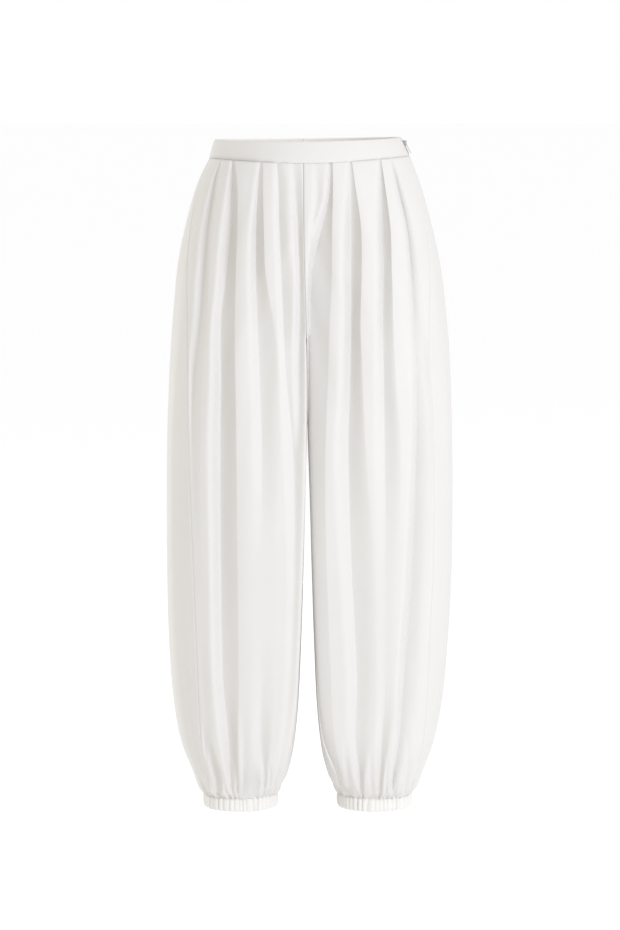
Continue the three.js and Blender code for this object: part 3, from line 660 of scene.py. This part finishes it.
def oval(cross, face, turn):
    """Place and outward normal on a section in a direction, as x and y of its own face. Past pi the
    other face begins, and y is negative."""
    past = turn > math.pi
    own = np.where(past, 2 * math.pi - turn, turn)
    depth = np.where(past, cross[face["other"]], cross[face["name"]])
    inner = np.cos(own) > 0
    width = np.where(inner, cross["inner"], cross["outer"])
    power = np.where(inner, cross["power"], OUTER_SQUARE)
    across, away = np.abs(np.cos(own)) / width, np.sin(own) / depth
    radius = (across**power + away**power) ** (-1 / power)
    normal_x = -np.sign(np.cos(own)) * across ** (power - 1) / width
    normal_y = away ** (power - 1) / depth
    size = np.hypot(normal_x, normal_y)
    flip = np.where(past, -1, 1)
    x = cross["middle"] - radius * np.cos(own)
    return x, flip * radius * np.sin(own), normal_x / size, flip * normal_y / size


def fold_height(z, x):
    """Height of the pleats and gathers of both legs at places x left of the middle plane."""
    high = np.zeros(np.broadcast_shapes(z.shape, x.shape))
    knee = np.clip((WAIST_Z - z) / (WAIST_Z - KNEE_Z), 0, 1)

    def towards_knee(pair):
        return pair[0] * (1 - knee) + pair[1] * knee

    reach, steep = towards_knee(ROLL_REACH), towards_knee(EDGE_STEEP)
    for name, sign in (("left", 1), ("right", -1)):
        place = x * sign
        for fold in FOLDS[name]:
            rows = fold["rows"]
            crease, edge, deep, fall = (along(rows, key, z) for key in ("crease", "edge", "deep", "fall"))
            shown = (z >= rows["z"][-1] - FOLD_END) & (z <= rows["z"][0] + FOLD_END)
            deep = FOLD_DEPTH * np.maximum(deep, 0) * shown
            wide = np.maximum(np.abs(edge - crease), LEAST_SLOPE)
            keen_crease, keen_edge = towards_knee(fold["keen_crease"]), towards_knee(fold["keen_edge"])
            past = (place - crease) * sign
            u = np.clip(1 + past / np.maximum(fall, LEAST_SLOPE), 0, 1)
            down = u * u * (3 - 2 * u) + 2 * keen_crease * (u**3 - u**2)
            w = np.clip(past / wide, 0, 1)
            start, end = keen_crease * (2 - keen_edge), keen_edge * steep
            up = w * (1 - w) ** 2 * start + w * w * (3 - 2 * w) + (w**3 - w**2) * end
            roll = ROLL_SHARE * keen_edge * deep
            rest = 1 - np.clip((past - wide) / reach, 0, 1)
            risen = np.where(past < wide, deep - (deep - roll) * up, roll * rest * rest)
            high = high - np.where(past < 0, deep * down, risen)
    return high


def strip_turns(start, end, count, from_seam=False):
    """Directions from start up to end, closer together at both ends, or only at the far end in the
    strip that goes on from a seam's own close steps."""
    t = np.linspace(0, 1, count, endpoint=False)[None, :]
    spread = np.sin(t * math.pi / 2) if from_seam else (1 - np.cos(t * math.pi)) / 2
    return start + (end - start) * spread


def seam_steps(cross, face, turn, way):
    """Steps in direction that lie SEAM_STEPS from a seam, of which way tells the side."""
    x, y, _, _ = oval(cross, face, turn)
    near_x, near_y, _, _ = oval(cross, face, turn + way * PROBE_TURN)
    speed = np.hypot(near_x - x, near_y - y) / PROBE_TURN
    return np.array(SEAM_STEPS)[None, :] / speed


def panel_turns(leg, face, cross):
    """Directions of one panel's columns, strip by strip from the centre seam or inseam. The back has
    the pleats of the front's other leg, and the pleat next to the centre seam gets no strip."""
    own = (leg["name"] == "left") == (face is FRONT)
    pleats = PLEATS_LEFT if own else PLEATS_RIGHT
    start = turn_at(cross, face, cross["gap"])
    seam = side_seam_turn(cross)
    end = seam if face is FRONT else 2 * math.pi - seam
    steps = seam_steps(cross, face, start, 1)
    bounds = [start + steps[:, -1:]]

    def add_bound(turn):
        bounds.append(np.clip(turn, bounds[-1] + LEAST_TURN, end - LAST_TURN))

    add_bound(turn_at(cross, face, cross["gap"] + CORNER_REACH))
    for fold in pleats[1:]:
        crease, edge = (along(fold["rows"], key, cross["z"]) for key in ("crease", "edge"))
        add_bound(leaning_turn_at(cross, face, np.minimum(crease, edge)))
        add_bound(leaning_turn_at(cross, face, np.maximum(crease, edge)))
    last_steps = seam_steps(cross, face, end, -1)[:, ::-1]
    last_steps = np.minimum(last_steps, LAST_STEPS_SHARE * (end - bounds[-1]))
    turns = [start, start + steps[:, :-1]]
    turns.append(strip_turns(bounds[0], bounds[1], FIRST_COLUMNS, from_seam=True))
    for before, after in zip(bounds[1:], bounds[2:]):
        turns.append(strip_turns(before, after, STRIP_COLUMNS))
    count = SEAM_COLUMNS if face is FRONT else WRAP_COLUMNS
    turns.append(strip_turns(bounds[-1], end - last_steps[:, :1], count))
    turns += [end - last_steps, end]
    return np.concatenate(turns, axis=1)


def rib_phase(theta, leg):
    """Phase of the cuff's ribs round the leg, uneven in spacing."""
    return wandering(RIBS * theta, RIB_WANDER, theta, leg["rib"])


def gather_height(theta, z, leg):
    """Height of the gathers above the cuff seam: fine ones at the seam, longer ruffles over them."""
    up = np.maximum(z - CUFF_SEAM_Z, 0)
    shift = leg["gather"]
    fine_reach = GATHER_REACH * wandering(1, GATHER_REACH_UNEVEN, theta, shift)
    fine = GATHER_HIGH * np.cos(rib_phase(theta, leg)) * np.exp(-up / fine_reach)
    phase = RUFFLE_COUNT * theta + wandering(0, RUFFLE_WANDER, theta, shift)
    crests = 2 * np.abs(np.cos(phase / 2)) - RUFFLE_MEAN
    long_reach = RUFFLE_REACH * wandering(1, RUFFLE_REACH_UNEVEN, theta, shift)
    rise = wandering(1, RUFFLE_HIGH_UNEVEN, theta, shift) * np.exp(-up / long_reach)
    rise = rise * (1 - RUFFLE_SEAM_LOSS * np.exp(-up / RUFFLE_SEAM_REACH))
    return np.maximum(fine + RUFFLE_HIGH * crests * rise, -DEEPEST_GATHER - DEEPER_BY * up)


def drape_height(theta, z, leg):
    """Slow uneven waves that run down the cloth."""
    drop = (WAIST_Z - z) / DRAPE_SCALE
    high = np.zeros_like(theta)
    for count, size, lean, start in DRAPE_WAVES:
        high = high + size * np.cos(count * theta + lean * drop + start + leg["drape"])
    left_by_cuff = 1 - DRAPE_CUFF_LOSS * np.exp(-(z - CUFF_SEAM_Z) / DRAPE_CUFF_REACH)
    return high * smooth(drop * DRAPE_GROWTH) * left_by_cuff


def band_edge(x, at_sides, dip):
    """Height of the band's upper or lower edge."""
    share = np.minimum(np.abs(x) / BAND_LOW_RING["left"], 1)
    return at_sides + BAND_TILT * x / BAND_LOW_RING["left"] - dip * (1 - share * share)


def row_heights():
    """Heights of the cloth's rows, closest at the fork, with one row on it."""
    heights = []
    for top, foot, count, ease in ROWS:
        t = 1 - np.arange(count) / count
        heights.extend(foot + (top - foot) * t**ease)
    heights.extend(TURN_UNDER["z"])
    return np.array(heights)


def relief(leg, theta, z, x, from_start, from_end):
    """Height of the cloth other than its folds: gathers, slow waves, seams and the turned-in ends."""
    slow = drape_height(theta, z, leg) * smooth(np.minimum(x, from_end) / DRAPE_SEAM_FADE)
    high = gather_height(theta, z, leg) + slow
    off_fork = smooth(np.abs(z - FORK_Z) / SEAM_FORK_FADE)
    for away, ridge, shown in zip((from_start, from_end), SEAM_RIDGE, (off_fork, 1.0)):
        high = high - shown * SEAM_TURN * bell(away, SEAM_TURN_REACH)
        high = high + shown * ridge * bell(away - SEAM_RIDGE_PLACE, SEAM_RIDGE_REACH)
    high = high - WAIST_DIP * np.exp(-((WAIST_Z - z) / WAIST_DIP_REACH))
    high = high + BLOUSE_HIGH * bell(z - BLOUSE_Z, BLOUSE_REACH)
    return high - np.where(z < CUFF_SEAM_Z, along(TURN_UNDER, "in", z), 0)


def panel_folds(leg, face, cross, x, y, normal_y, from_end):
    """Height of a panel's folds along y. On the outer half of a leg they fade as the cloth turns away
    and at the side seam, and on the inner half with its depth, so that the corner moves with them."""
    shown = smooth(normal_y / FACING_SHARE) * smooth(from_end / SEAM_FADE)
    by_depth = smooth(y / (INNER_FADE * cross[face["name"]]))
    shown = np.where(x < cross["middle"], by_depth, shown)
    folds = fold_height(cross["z"], leg["side"] * face["sign"] * x) * face["fold_share"] * shown
    above_cuff = np.maximum(cross["z"] - CUFF_SEAM_Z, 0)
    return np.maximum(folds, -DEEPEST_FOOT_FOLD - DEEPER_FOOT_FOLD * above_cuff)


def settle(points, cross):
    """Bow the pressed inner sides below the fork, and bring the cloth's top to the band's lower edge."""
    x, y, z = points[..., 0], points[..., 1], cross["z"]
    pressed = smooth((FORK_Z - z) / PRESS_FADE) * smooth((z - PRESS_FOOT_Z) / PRESS_FADE)
    inward = np.clip(1 - (y / cross["front"]) ** 2, 0, 1)
    x += PRESS_BOW * pressed * inward * bell(x, PRESS_REACH)
    blend = np.clip((z - WAIST_BLEND_Z) / (WAIST_Z - WAIST_BLEND_Z), 0, 1)
    seam = band_edge(x, BAND_LOW_Z, BAND_LOW_DIP) + SEAM_TUCK
    points[..., 2] += (seam - WAIST_Z) * blend
    return points


def leg_grid(leg, face):
    """Outer surface of one leg panel, in millimetres."""
    cross = section(leg, row_heights())
    turn = panel_turns(leg, face, cross)
    x, y, normal_x, normal_y = oval(cross, face, turn)
    x = x + lean_at(cross, x)
    arc = np.zeros_like(x)
    arc[:, 1:] = np.cumsum(np.hypot(np.diff(x, axis=1), np.diff(y, axis=1)), axis=1)
    from_start, from_end = arc, arc[:, -1:] - arc
    theta = turn if face is FRONT else 2 * math.pi - turn
    high = relief(leg, theta, cross["z"], x, from_start, from_end)
    folds = panel_folds(leg, face, cross, x, y, normal_y, from_end)
    y[:, 0] = np.maximum(y[:, 0], HALF_GAP)
    points = [
        leg["side"] * (x + high * normal_x),
        -face["sign"] * (y + high * normal_y + folds),
        np.broadcast_to(cross["z"], x.shape),
    ]
    return settle(np.stack(points, axis=-1), cross)


def mesh_object(name, points, faces, chart=None):
    """A smooth mesh of quads, turned so that its faces point out."""
    a, b, c, d = (points[faces[:, i]] for i in range(4))
    volume = np.sum(np.cross(a, b) * c) + np.sum(np.cross(a, c) * d)
    if volume < 0:
        faces = faces[:, ::-1]
    mesh = bpy.data.meshes.new(name)
    mesh.vertices.add(len(points))
    mesh.vertices.foreach_set("co", points.astype(np.float32).ravel())
    mesh.loops.add(faces.size)
    mesh.loops.foreach_set("vertex_index", faces.astype(np.int32).ravel())
    mesh.polygons.add(len(faces))
    mesh.polygons.foreach_set("loop_start", np.arange(0, faces.size, 4, dtype=np.int32))
    mesh.update(calc_edges=True)
    mesh.polygons.foreach_set("use_smooth", np.ones(len(faces), bool))
    if chart is not None:
        layer = mesh.uv_layers.new(name="weave")
        layer.data.foreach_set("uv", chart[faces.ravel()].astype(np.float32).ravel())
    mesh.validate()
    made = bpy.data.objects.new(name, mesh)
    bpy.context.scene.collection.objects.link(made)
    return made


def quads(a, b, c, d):
    """Faces through four arrays of corners."""
    return np.stack([a.ravel(), b.ravel(), c.ravel(), d.ravel()], axis=1)


def wall_mesh(name, outer, wall):
    """A thin closed wall under a grid of outer points, with a map of arc and height for its weave."""
    rows, count = outer.shape[:2]
    normal = np.cross(np.gradient(outer, axis=1), np.gradient(outer, axis=0))
    normal /= np.maximum(np.linalg.norm(normal, axis=-1, keepdims=True), 1e-9)
    centre = outer.mean(axis=1, keepdims=True)
    if np.sum((outer - centre)[..., :2] * normal[..., :2]) < 0:
        normal = -normal
    inner = outer - normal * wall
    points = np.concatenate([outer.reshape(-1, 3), inner.reshape(-1, 3)]) * MM
    index = np.arange(rows * count).reshape(rows, count)
    far = index + rows * count
    faces = [
        quads(index[:-1, :-1], index[1:, :-1], index[1:, 1:], index[:-1, 1:]),
        quads(far[:-1, :-1], far[:-1, 1:], far[1:, 1:], far[1:, :-1]),
        quads(index[0, :-1], index[0, 1:], far[0, 1:], far[0, :-1]),
        quads(index[-1, :-1], far[-1, :-1], far[-1, 1:], index[-1, 1:]),
        quads(index[:-1, 0], far[:-1, 0], far[1:, 0], index[1:, 0]),
        quads(index[:-1, -1], index[1:, -1], far[1:, -1], far[:-1, -1]),
    ]
    arc = np.zeros((rows, count))
    arc[:, 1:] = np.cumsum(np.linalg.norm(np.diff(outer, axis=1), axis=-1), axis=1)
    chart = np.stack([arc - arc[:, count // 2 : count // 2 + 1], outer[..., 2]], axis=-1)
    chart = np.concatenate([chart.reshape(-1, 2)] * 2) * MM
    return mesh_object(name, points, np.concatenate(faces), chart)


def ring_mesh(name, stations, closed):
    """A closed bar through rings of profile points, with capped ends unless it closes on itself."""
    count, size = stations.shape[:2]
    index = np.arange(count * size).reshape(count, size)
    ring = np.concatenate([index, index[:, :1]], axis=1)
    if closed:
        ring = np.concatenate([ring, ring[:1]], axis=0)
    faces = quads(ring[:-1, :-1], ring[:-1, 1:], ring[1:, 1:], ring[1:, :-1])
    arc = np.zeros(count)
    arc[1:] = np.cumsum(np.linalg.norm(np.diff(stations.mean(axis=1), axis=0), axis=-1))
    chart = np.stack([np.repeat(arc[:, None], size, axis=1), stations[..., 2]], axis=-1).reshape(-1, 2)
    if not closed:
        half = size // 2
        for end in (0, count - 1):
            first, last = index[end][:half], index[end][half:][::-1]
            cap = quads(first[:-1], first[1:], last[1:], last[:-1])
            faces = np.concatenate([faces, cap if end == 0 else cap[:, ::-1]])
    return mesh_object(name, stations.reshape(-1, 3) * MM, faces, chart * MM)


def band_place(angle, rise, out):
    """Points of the band at angles from the left side round the back, rise up its height and out from
    its rings."""
    left = np.cos(angle) > 0
    low = np.where(left, BAND_LOW_RING["left"], BAND_LOW_RING["right"])
    top = np.where(left, BAND_TOP_RING["left"], BAND_TOP_RING["right"])
    half = low + (top - low) * rise
    depth = BAND_LOW_RING["depth"] + (BAND_TOP_RING["depth"] - BAND_LOW_RING["depth"]) * rise
    normal_x, normal_y = np.cos(angle) / half, np.sin(angle) / depth
    size = np.hypot(normal_x, normal_y)
    x = half * np.cos(angle) + (out + BAND_PROUD) * normal_x / size
    y = depth * np.sin(angle) + (out + BAND_PROUD) * normal_y / size
    low_edge = band_edge(x, BAND_LOW_Z, BAND_LOW_DIP)
    top_edge = band_edge(x, BAND_TOP_Z, BAND_TOP_DIP)
    return np.stack([x, y, low_edge + (top_edge - low_edge) * rise], axis=-1)


def band_piece(name, start, end, taken_start, taken_end):
    """A length of waistband: two layers folded over at the top and sewn to the legs below."""
    turn = np.linspace(0, 2 * math.pi, BAND_PROFILE_POINTS, endpoint=False)
    turn = turn + math.pi / BAND_PROFILE_POINTS
    across = squared(np.cos(turn), BAND_SQUARE[0])[None, :]
    rise = (squared(np.sin(turn), BAND_SQUARE[1])[None, :] + 1) / 2
    radius = BAND_LOW_RING["depth"]
    start, end = start + taken_start / radius, end - taken_end / radius
    count = int((end - start) * BAND_MEAN_RADIUS / BAND_STATION_STEP)
    angle = np.linspace(start, end, count)[:, None]
    from_end = np.minimum(angle - start, end - angle) * radius
    swell = sum(high * np.cos(n * angle + phase) for n, high, phase in BAND_WAVES)
    swell = swell * np.sin(math.pi * rise) * BAND_WAVE_SHARE
    belly = BAND_BELLY * np.sin(math.pi * rise)
    tuck = -BAND_END_TUCK * bell(from_end, BAND_END_REACH)
    outer = across > 0
    out = -BAND_WALL / 2 + across * BAND_WALL / 2 + (belly + swell) * outer + tuck * outer
    return ring_mesh(name, band_place(angle, rise, out), False)


def waistband():
    """The band's three lengths, between the closure, the centre back and the right side."""
    closure = -math.acos(CLOSURE_SHARE)
    right_side = -math.pi - closure
    back_middle = math.pi / 2 - CENTRE_LEAN["x"][0] / BAND_TOP_RING["left"]
    seam, open_end = BAND_SEAM, CLOSURE_GAP / 2
    return [
        band_piece("band_front", right_side, closure, seam, open_end),
        band_piece("band_back_left", closure, back_middle, open_end, seam),
        band_piece("band_back_right", back_middle, right_side + 2 * math.pi, seam, seam),
    ]


def cuff(leg):
    """Elastic casing: a soft tube ring pulled into uneven ribs."""
    turn = np.linspace(0, 2 * math.pi, CUFF_PROFILE_POINTS, endpoint=False)
    end_power = np.where(np.sin(turn) > 0, CUFF_SQUARE["top"], CUFF_SQUARE["foot"])
    across = squared(np.cos(turn), CUFF_SQUARE["across"])[None, :]
    up = squared(np.sin(turn), end_power)[None, :]
    theta = np.linspace(0, 2 * math.pi, CUFF_STATIONS, endpoint=False)[:, None]
    lean = wandering(0, CUFF_LEAN, theta) * up * CUFF_LEAN_HIGH
    ridge = np.abs(np.sin(rib_phase(theta, leg) / 2 + math.pi / 2 + lean)) ** CUFF_RIB_POWER * 2 - 1
    strength = wandering(1, CUFF_RIB_UNEVEN, theta)
    outside = smooth((across + CUFF_OUTSIDE["from"]) / CUFF_OUTSIDE["reach"])
    rib = CUFF_RIB_HIGH * strength * ridge * (CUFF_RIB_INSIDE + (1 - CUFF_RIB_INSIDE) * outside)
    rib = rib * (CUFF_RIB_EDGE + (1 - CUFF_RIB_EDGE) * np.cos(up * math.pi / 2))
    out = -CUFF_WALL / 2 + across * CUFF_WALL / 2 + rib
    for way, (deep, first, reach) in ((1, CUFF_TOP_TUCK), (-1, CUFF_FOOT_TUCK)):
        out = out - deep * smooth((way * up - first) / reach)
    half_height, middle_z = (CUFF_SEAM_Z - HEM_Z) / 2, (CUFF_SEAM_Z + HEM_Z) / 2
    scallop = CUFF_SCALLOP * ridge * np.abs(up) * strength
    z = middle_z + half_height * up * CUFF_HIGH_SHARE + scallop * np.sign(up)
    z = np.clip(z, HEM_Z, CUFF_SEAM_Z + CUFF_OVER_SEAM)
    x = -leg["side"] * (CUFF_HALF_WIDTH + out) * np.cos(theta) + leg["side"] * CUFF_CENTRE_X
    y = -(CUFF_HALF_DEPTH + out) * np.sin(theta)
    return ring_mesh("elastic_cuff_" + leg["name"], np.stack([x, y, z], axis=-1), True)


def tape_grid(heights, offsets, deep):
    """Places behind the closure: offsets run back along the body from it, deep inwards from the tape's
    outer face."""
    heights, offsets = np.asarray(heights, float), np.asarray(offsets, float)[None, :]
    rise = ((heights - BAND_LOW_Z) / (BAND_TOP_Z - BAND_LOW_Z))[:, None]
    angle = offsets / BAND_LOW_RING["depth"] - math.acos(CLOSURE_SHARE)
    on_band = band_place(angle + 0 * rise, rise, -(BAND_WALL + ZIP_TAPE["clear_band"] + deep))
    cross = section(LEFT, np.minimum(heights, BAND_LOW_Z))
    turn = side_seam_turn(cross) + offsets / cross["outer"]
    x, y, normal_x, normal_y = oval(cross, FRONT, turn)
    inward = CLOTH_WALL + ZIP_TAPE["clear_leg"] + deep
    x = x + lean_at(cross, x) - inward * normal_x
    on_leg = np.stack([x, inward * normal_y - y, np.broadcast_to(heights[:, None], x.shape)], axis=-1)
    return np.where((heights > BAND_LOW_Z)[:, None, None], on_band, on_leg)


def zip_tape():
    """The tape that backs the closure, down the inside of the left side seam."""
    band_foot = BAND_LOW_Z + ZIP_TAPE["over_band_foot"]
    on_band = np.linspace(ZIP_TAPE["top"], band_foot, ZIP_TAPE["band_rows"])
    on_leg = np.linspace(ZIP_TAPE["leg_top"], ZIP_TAPE["foot"], ZIP_TAPE["leg_rows"])
    offsets = np.linspace(-ZIP_TAPE["half_width"], ZIP_TAPE["half_width"], ZIP_TAPE["columns"])
    points = tape_grid(np.concatenate([on_band, on_leg]), offsets, 0.0)
    return wall_mesh("zip_tape_woven", points, ZIP_TAPE["wall"])


def zip_coil():
    """Two rows of small teeth that mesh along the middle of the tape."""
    top, foot = ZIP_TAPE["top"] - TOOTH["below_top"], ZIP_TAPE["foot"] + TOOTH["above_foot"]
    groups = []
    for side in (-1, 1):
        heights = np.arange(top, foot, -TOOTH["pitch"]) + side * TOOTH["pitch"] / 4
        across = side * TOOTH["off"] + np.array([-TOOTH["half_long"], TOOTH["half_long"]])
        corners = [
            tape_grid(
                heights + up * TOOTH["half_high"], across, -TOOTH["clear"] + out * TOOTH["half_deep"]
            )
            for up in (1, -1)
            for out in (-1, 1)
        ]
        groups.append(np.concatenate(corners, axis=1))
    points = np.concatenate(groups).reshape(-1, 3) * MM
    first = np.arange(len(points) // 8)[:, None, None] * 8
    return mesh_object("zip_coil", points, (first + np.array(TOOTH_FACES)[None]).reshape(-1, 4))


def material(name):
    """A new material, its node tree and its shader."""
    made = bpy.data.materials.new(name)
    made.use_nodes = True
    tree = made.node_tree
    return made, tree, tree.nodes["Principled BSDF"]


def feed(tree, socket, value):
    """Link a shader socket to another, or set it to a value."""
    if isinstance(value, bpy.types.NodeSocket):
        tree.links.new(value, socket)
    else:
        socket.default_value = value


def node(tree, kind, **settings):
    """A shader node with its inputs fed and its other properties set."""
    made = tree.nodes.new(kind)
    for key, value in settings.items():
        name = key.replace("_", " ")
        if name in made.inputs:
            feed(tree, made.inputs[name], value)
        else:
            setattr(made, key, value)
    return made


def computed(tree, operation, *values):
    """The result of a math node."""
    made = node(tree, "ShaderNodeMath", operation=operation)
    for socket, value in zip(made.inputs, values):
        feed(tree, socket, value)
    return made.outputs[0]


def cloth_material(name, tint=1.0):
    """Smooth off-white crepe: a fine plain weave with slubs, matt with a little sheen."""
    made, tree, shader = material(name)
    chart = node(tree, "ShaderNodeUVMap", uv_map="weave")
    split = node(tree, "ShaderNodeSeparateXYZ", Vector=chart.outputs["UV"])
    threads = []
    for axis in ("X", "Y"):
        turn = computed(tree, "MULTIPLY", split.outputs[axis], 2 * math.pi / (THREAD * MM))
        threads.append(computed(tree, "SINE", turn))
    weave = computed(tree, "MULTIPLY", *threads)
    place = node(tree, "ShaderNodeTexCoord").outputs["Object"]
    slub = node(tree, "ShaderNodeTexNoise", Vector=place, **SLUB_NOISE)
    tone = node(tree, "ShaderNodeTexNoise", Vector=place, **TONE_NOISE)
    # Sockets 6 and 7 and output 2 of this node are those for colours.
    mix = node(tree, "ShaderNodeMix", data_type="RGBA", Factor=tone.outputs["Fac"])
    # The tint scales both tones; on the cuffs and on the band's inside it makes lighter copies that are
    # painted light.
    for socket, colour in ((6, CLOTH_COLOUR), (7, CLOTH_SHADE)):
        mix.inputs[socket].default_value = (*(c * tint for c in colour), 1)
    tree.links.new(mix.outputs[2], shader.inputs["Base Color"])
    grain = node(tree, "ShaderNodeBump", Height=slub.outputs["Fac"], **SLUB_RELIEF)
    woven = node(
        tree, "ShaderNodeBump", Height=weave, Normal=grain.outputs["Normal"], **WEAVE_RELIEF
    )
    tree.links.new(woven.outputs["Normal"], shader.inputs["Normal"])
    for key, value in CLOTH_GLOSS.items():
        shader.inputs[key].default_value = value
    return made


def metal_material(name, colour, roughness, metallic):
    """Lacquer, bare metal or nylon with slightly uneven gloss from wear."""
    made, tree, shader = material(name)
    place = node(tree, "ShaderNodeTexCoord").outputs["Object"]
    worn = node(tree, "ShaderNodeTexNoise", Vector=place, **WEAR_NOISE)
    spread = node(tree, "ShaderNodeMapRange", Value=worn.outputs["Fac"])
    spread.inputs["To Min"].default_value = roughness - WEAR_SMOOTHER
    spread.inputs["To Max"].default_value = roughness + WEAR_ROUGHER
    tree.links.new(spread.outputs["Result"], shader.inputs["Roughness"])
    shader.inputs["Base Color"].default_value = (*colour, 1)
    shader.inputs["Metallic"].default_value = metallic
    return made


def wear(piece, finish, slot_name, body, *nodes):
    """Give a new piece its finish, and its place in the frame."""
    piece.data.materials.clear()
    piece.data.materials.append(finish)
    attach(piece, body)
    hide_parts(*nodes)


def paint_light_inside(piece, finish):
    """Give the faces that look into the hollow a lighter copy of the cloth: painted light in the hollow.
    """
    count = len(piece.data.polygons)
    centre, normal = np.empty(count * 3), np.empty(count * 3)
    piece.data.polygons.foreach_get("center", centre)
    piece.data.polygons.foreach_get("normal", normal)
    centre, normal = centre.reshape(-1, 3)[:, :2], normal.reshape(-1, 3)[:, :2]
    inward = np.sum(centre * normal, axis=1) < -PAINTED_LIGHT_INWARD_SHARE * np.linalg.norm(centre, axis=1)
    piece.data.materials.append(finish)
    piece.data.polygons.foreach_set("material_index", inward.astype(np.int32))


def camera():
    """The camera, with colours shown as they are."""
    scene = bpy.context.scene
    lens = bpy.data.cameras.new("camera")
    lens.lens = CAMERA_LENS
    lens.sensor_width = CAMERA_SENSOR
    holder = bpy.data.objects.new("camera", lens)
    holder.location = [c * MM for c in CAMERA_PLACE]
    holder.rotation_euler = (math.radians(90 - CAMERA_PITCH), 0, 0)
    scene.collection.objects.link(holder)
    scene.camera = holder
    scene.view_settings.view_transform = "Standard"
    scene.view_settings.look = "None"


def lights():
    """A white studio, with a key lamp at the front and one behind that only edges the outline."""
    world = bpy.data.worlds.new("studio")
    world.use_nodes = True
    sky = world.node_tree.nodes["Background"]
    sky.inputs["Color"].default_value = (1.0, 1.0, 1.0, 1)
    sky.inputs["Strength"].default_value = 1.0
    bpy.context.scene.world = world
    for name, place, size, power, colour in LAMPS:
        light = bpy.data.lights.new(name, "AREA")
        light.size = size
        light.energy = power
        light.color = colour
        lamp = bpy.data.objects.new(name, light)
        lamp.location = place
        aim = np.array(LAMP_AIM) - np.array(place)
        tilt = math.atan2(math.hypot(aim[0], aim[1]), -aim[2])
        lamp.rotation_euler = (tilt, 0, math.atan2(aim[1], aim[0]) - math.pi / 2)
        bpy.context.scene.collection.objects.link(lamp)


def floor():
    """A pale floor well below the hem."""
    size, low = FLOOR_HALF, HEM_Z * MM - FLOOR_DROP
    corners = np.array([(-size, -size, low), (size, -size, low), (size, size, low), (-size, size, low)])
    made = mesh_object("floor", corners, np.array([[0, 1, 2, 3]]))
    finish, _, shader = material("floor_paper")
    shader.inputs["Base Color"].default_value = (FLOOR_TONE, FLOOR_TONE, FLOOR_TONE, 1)
    shader.inputs["Roughness"].default_value = FLOOR_ROUGHNESS
    made.data.materials.append(finish)


camera()
lights()
floor()
cloth = cloth_material("crepe")
# The cuffs wear a lighter copy of the cloth: painted light.
ribbed_cloth_painted_light = cloth_material("gathered_crepe_painted_light", CUFF_PAINTED_LIGHT_TINT)
# The band's faces that look into the hollow wear a much lighter copy of the cloth: painted light in the
# hollow.
painted_light_inner_cloth = cloth_material("crepe_inside_painted_light", PAINTED_LIGHT_INSIDE_TINT)
for made in waistband():
    wear(made, cloth, "cloth", "garment", "waist" + made.name)
    paint_light_inside(made, painted_light_inner_cloth)
for leg in (LEFT, RIGHT):
    for face, flat, area in ((FRONT, (0.3, 0.93), 0.235), (BACK, (0.46, 0.94), 0.365)):
        panel = face["name"] + "_" + leg["name"]
        made = wall_mesh("panel_" + panel, leg_grid(leg, face), CLOTH_WALL)
        wear(made, cloth, "cloth", "garment", "leg_" + panel)
    made = cuff(leg)
    wear(made, ribbed_cloth_painted_light, "cloth", "garment", "cuff_" + leg["name"])

made = zip_tape()
wear(made, cloth_material("woven_tape", TAPE_TINT), "zip_tape", "garment", "zip_tape")
made = zip_coil()
nylon = metal_material("coil_nylon", (0.6, 0.58, 0.55), roughness=0.4, metallic=0.0)
made.data.materials.append(nylon)
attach(made, "garment")

lacquer = metal_material("grey_lacquer", (0.52, 0.51, 0.5), roughness=0.4, metallic=0.3)
slider_lacquer = metal_material("dark_lacquer", (0.34, 0.33, 0.32), roughness=0.4, metallic=0.4)
nickel = metal_material("dull_nickel", (0.24, 0.23, 0.22), roughness=0.35, metallic=0.9)
hardware = {"zip_slider": slider_lacquer, "zip_pull_tab": lacquer, "hook": nickel, "eye": nickel}
for name, finish in hardware.items():
    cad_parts[name].data.materials.clear()
    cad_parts[name].data.materials.append(finish)
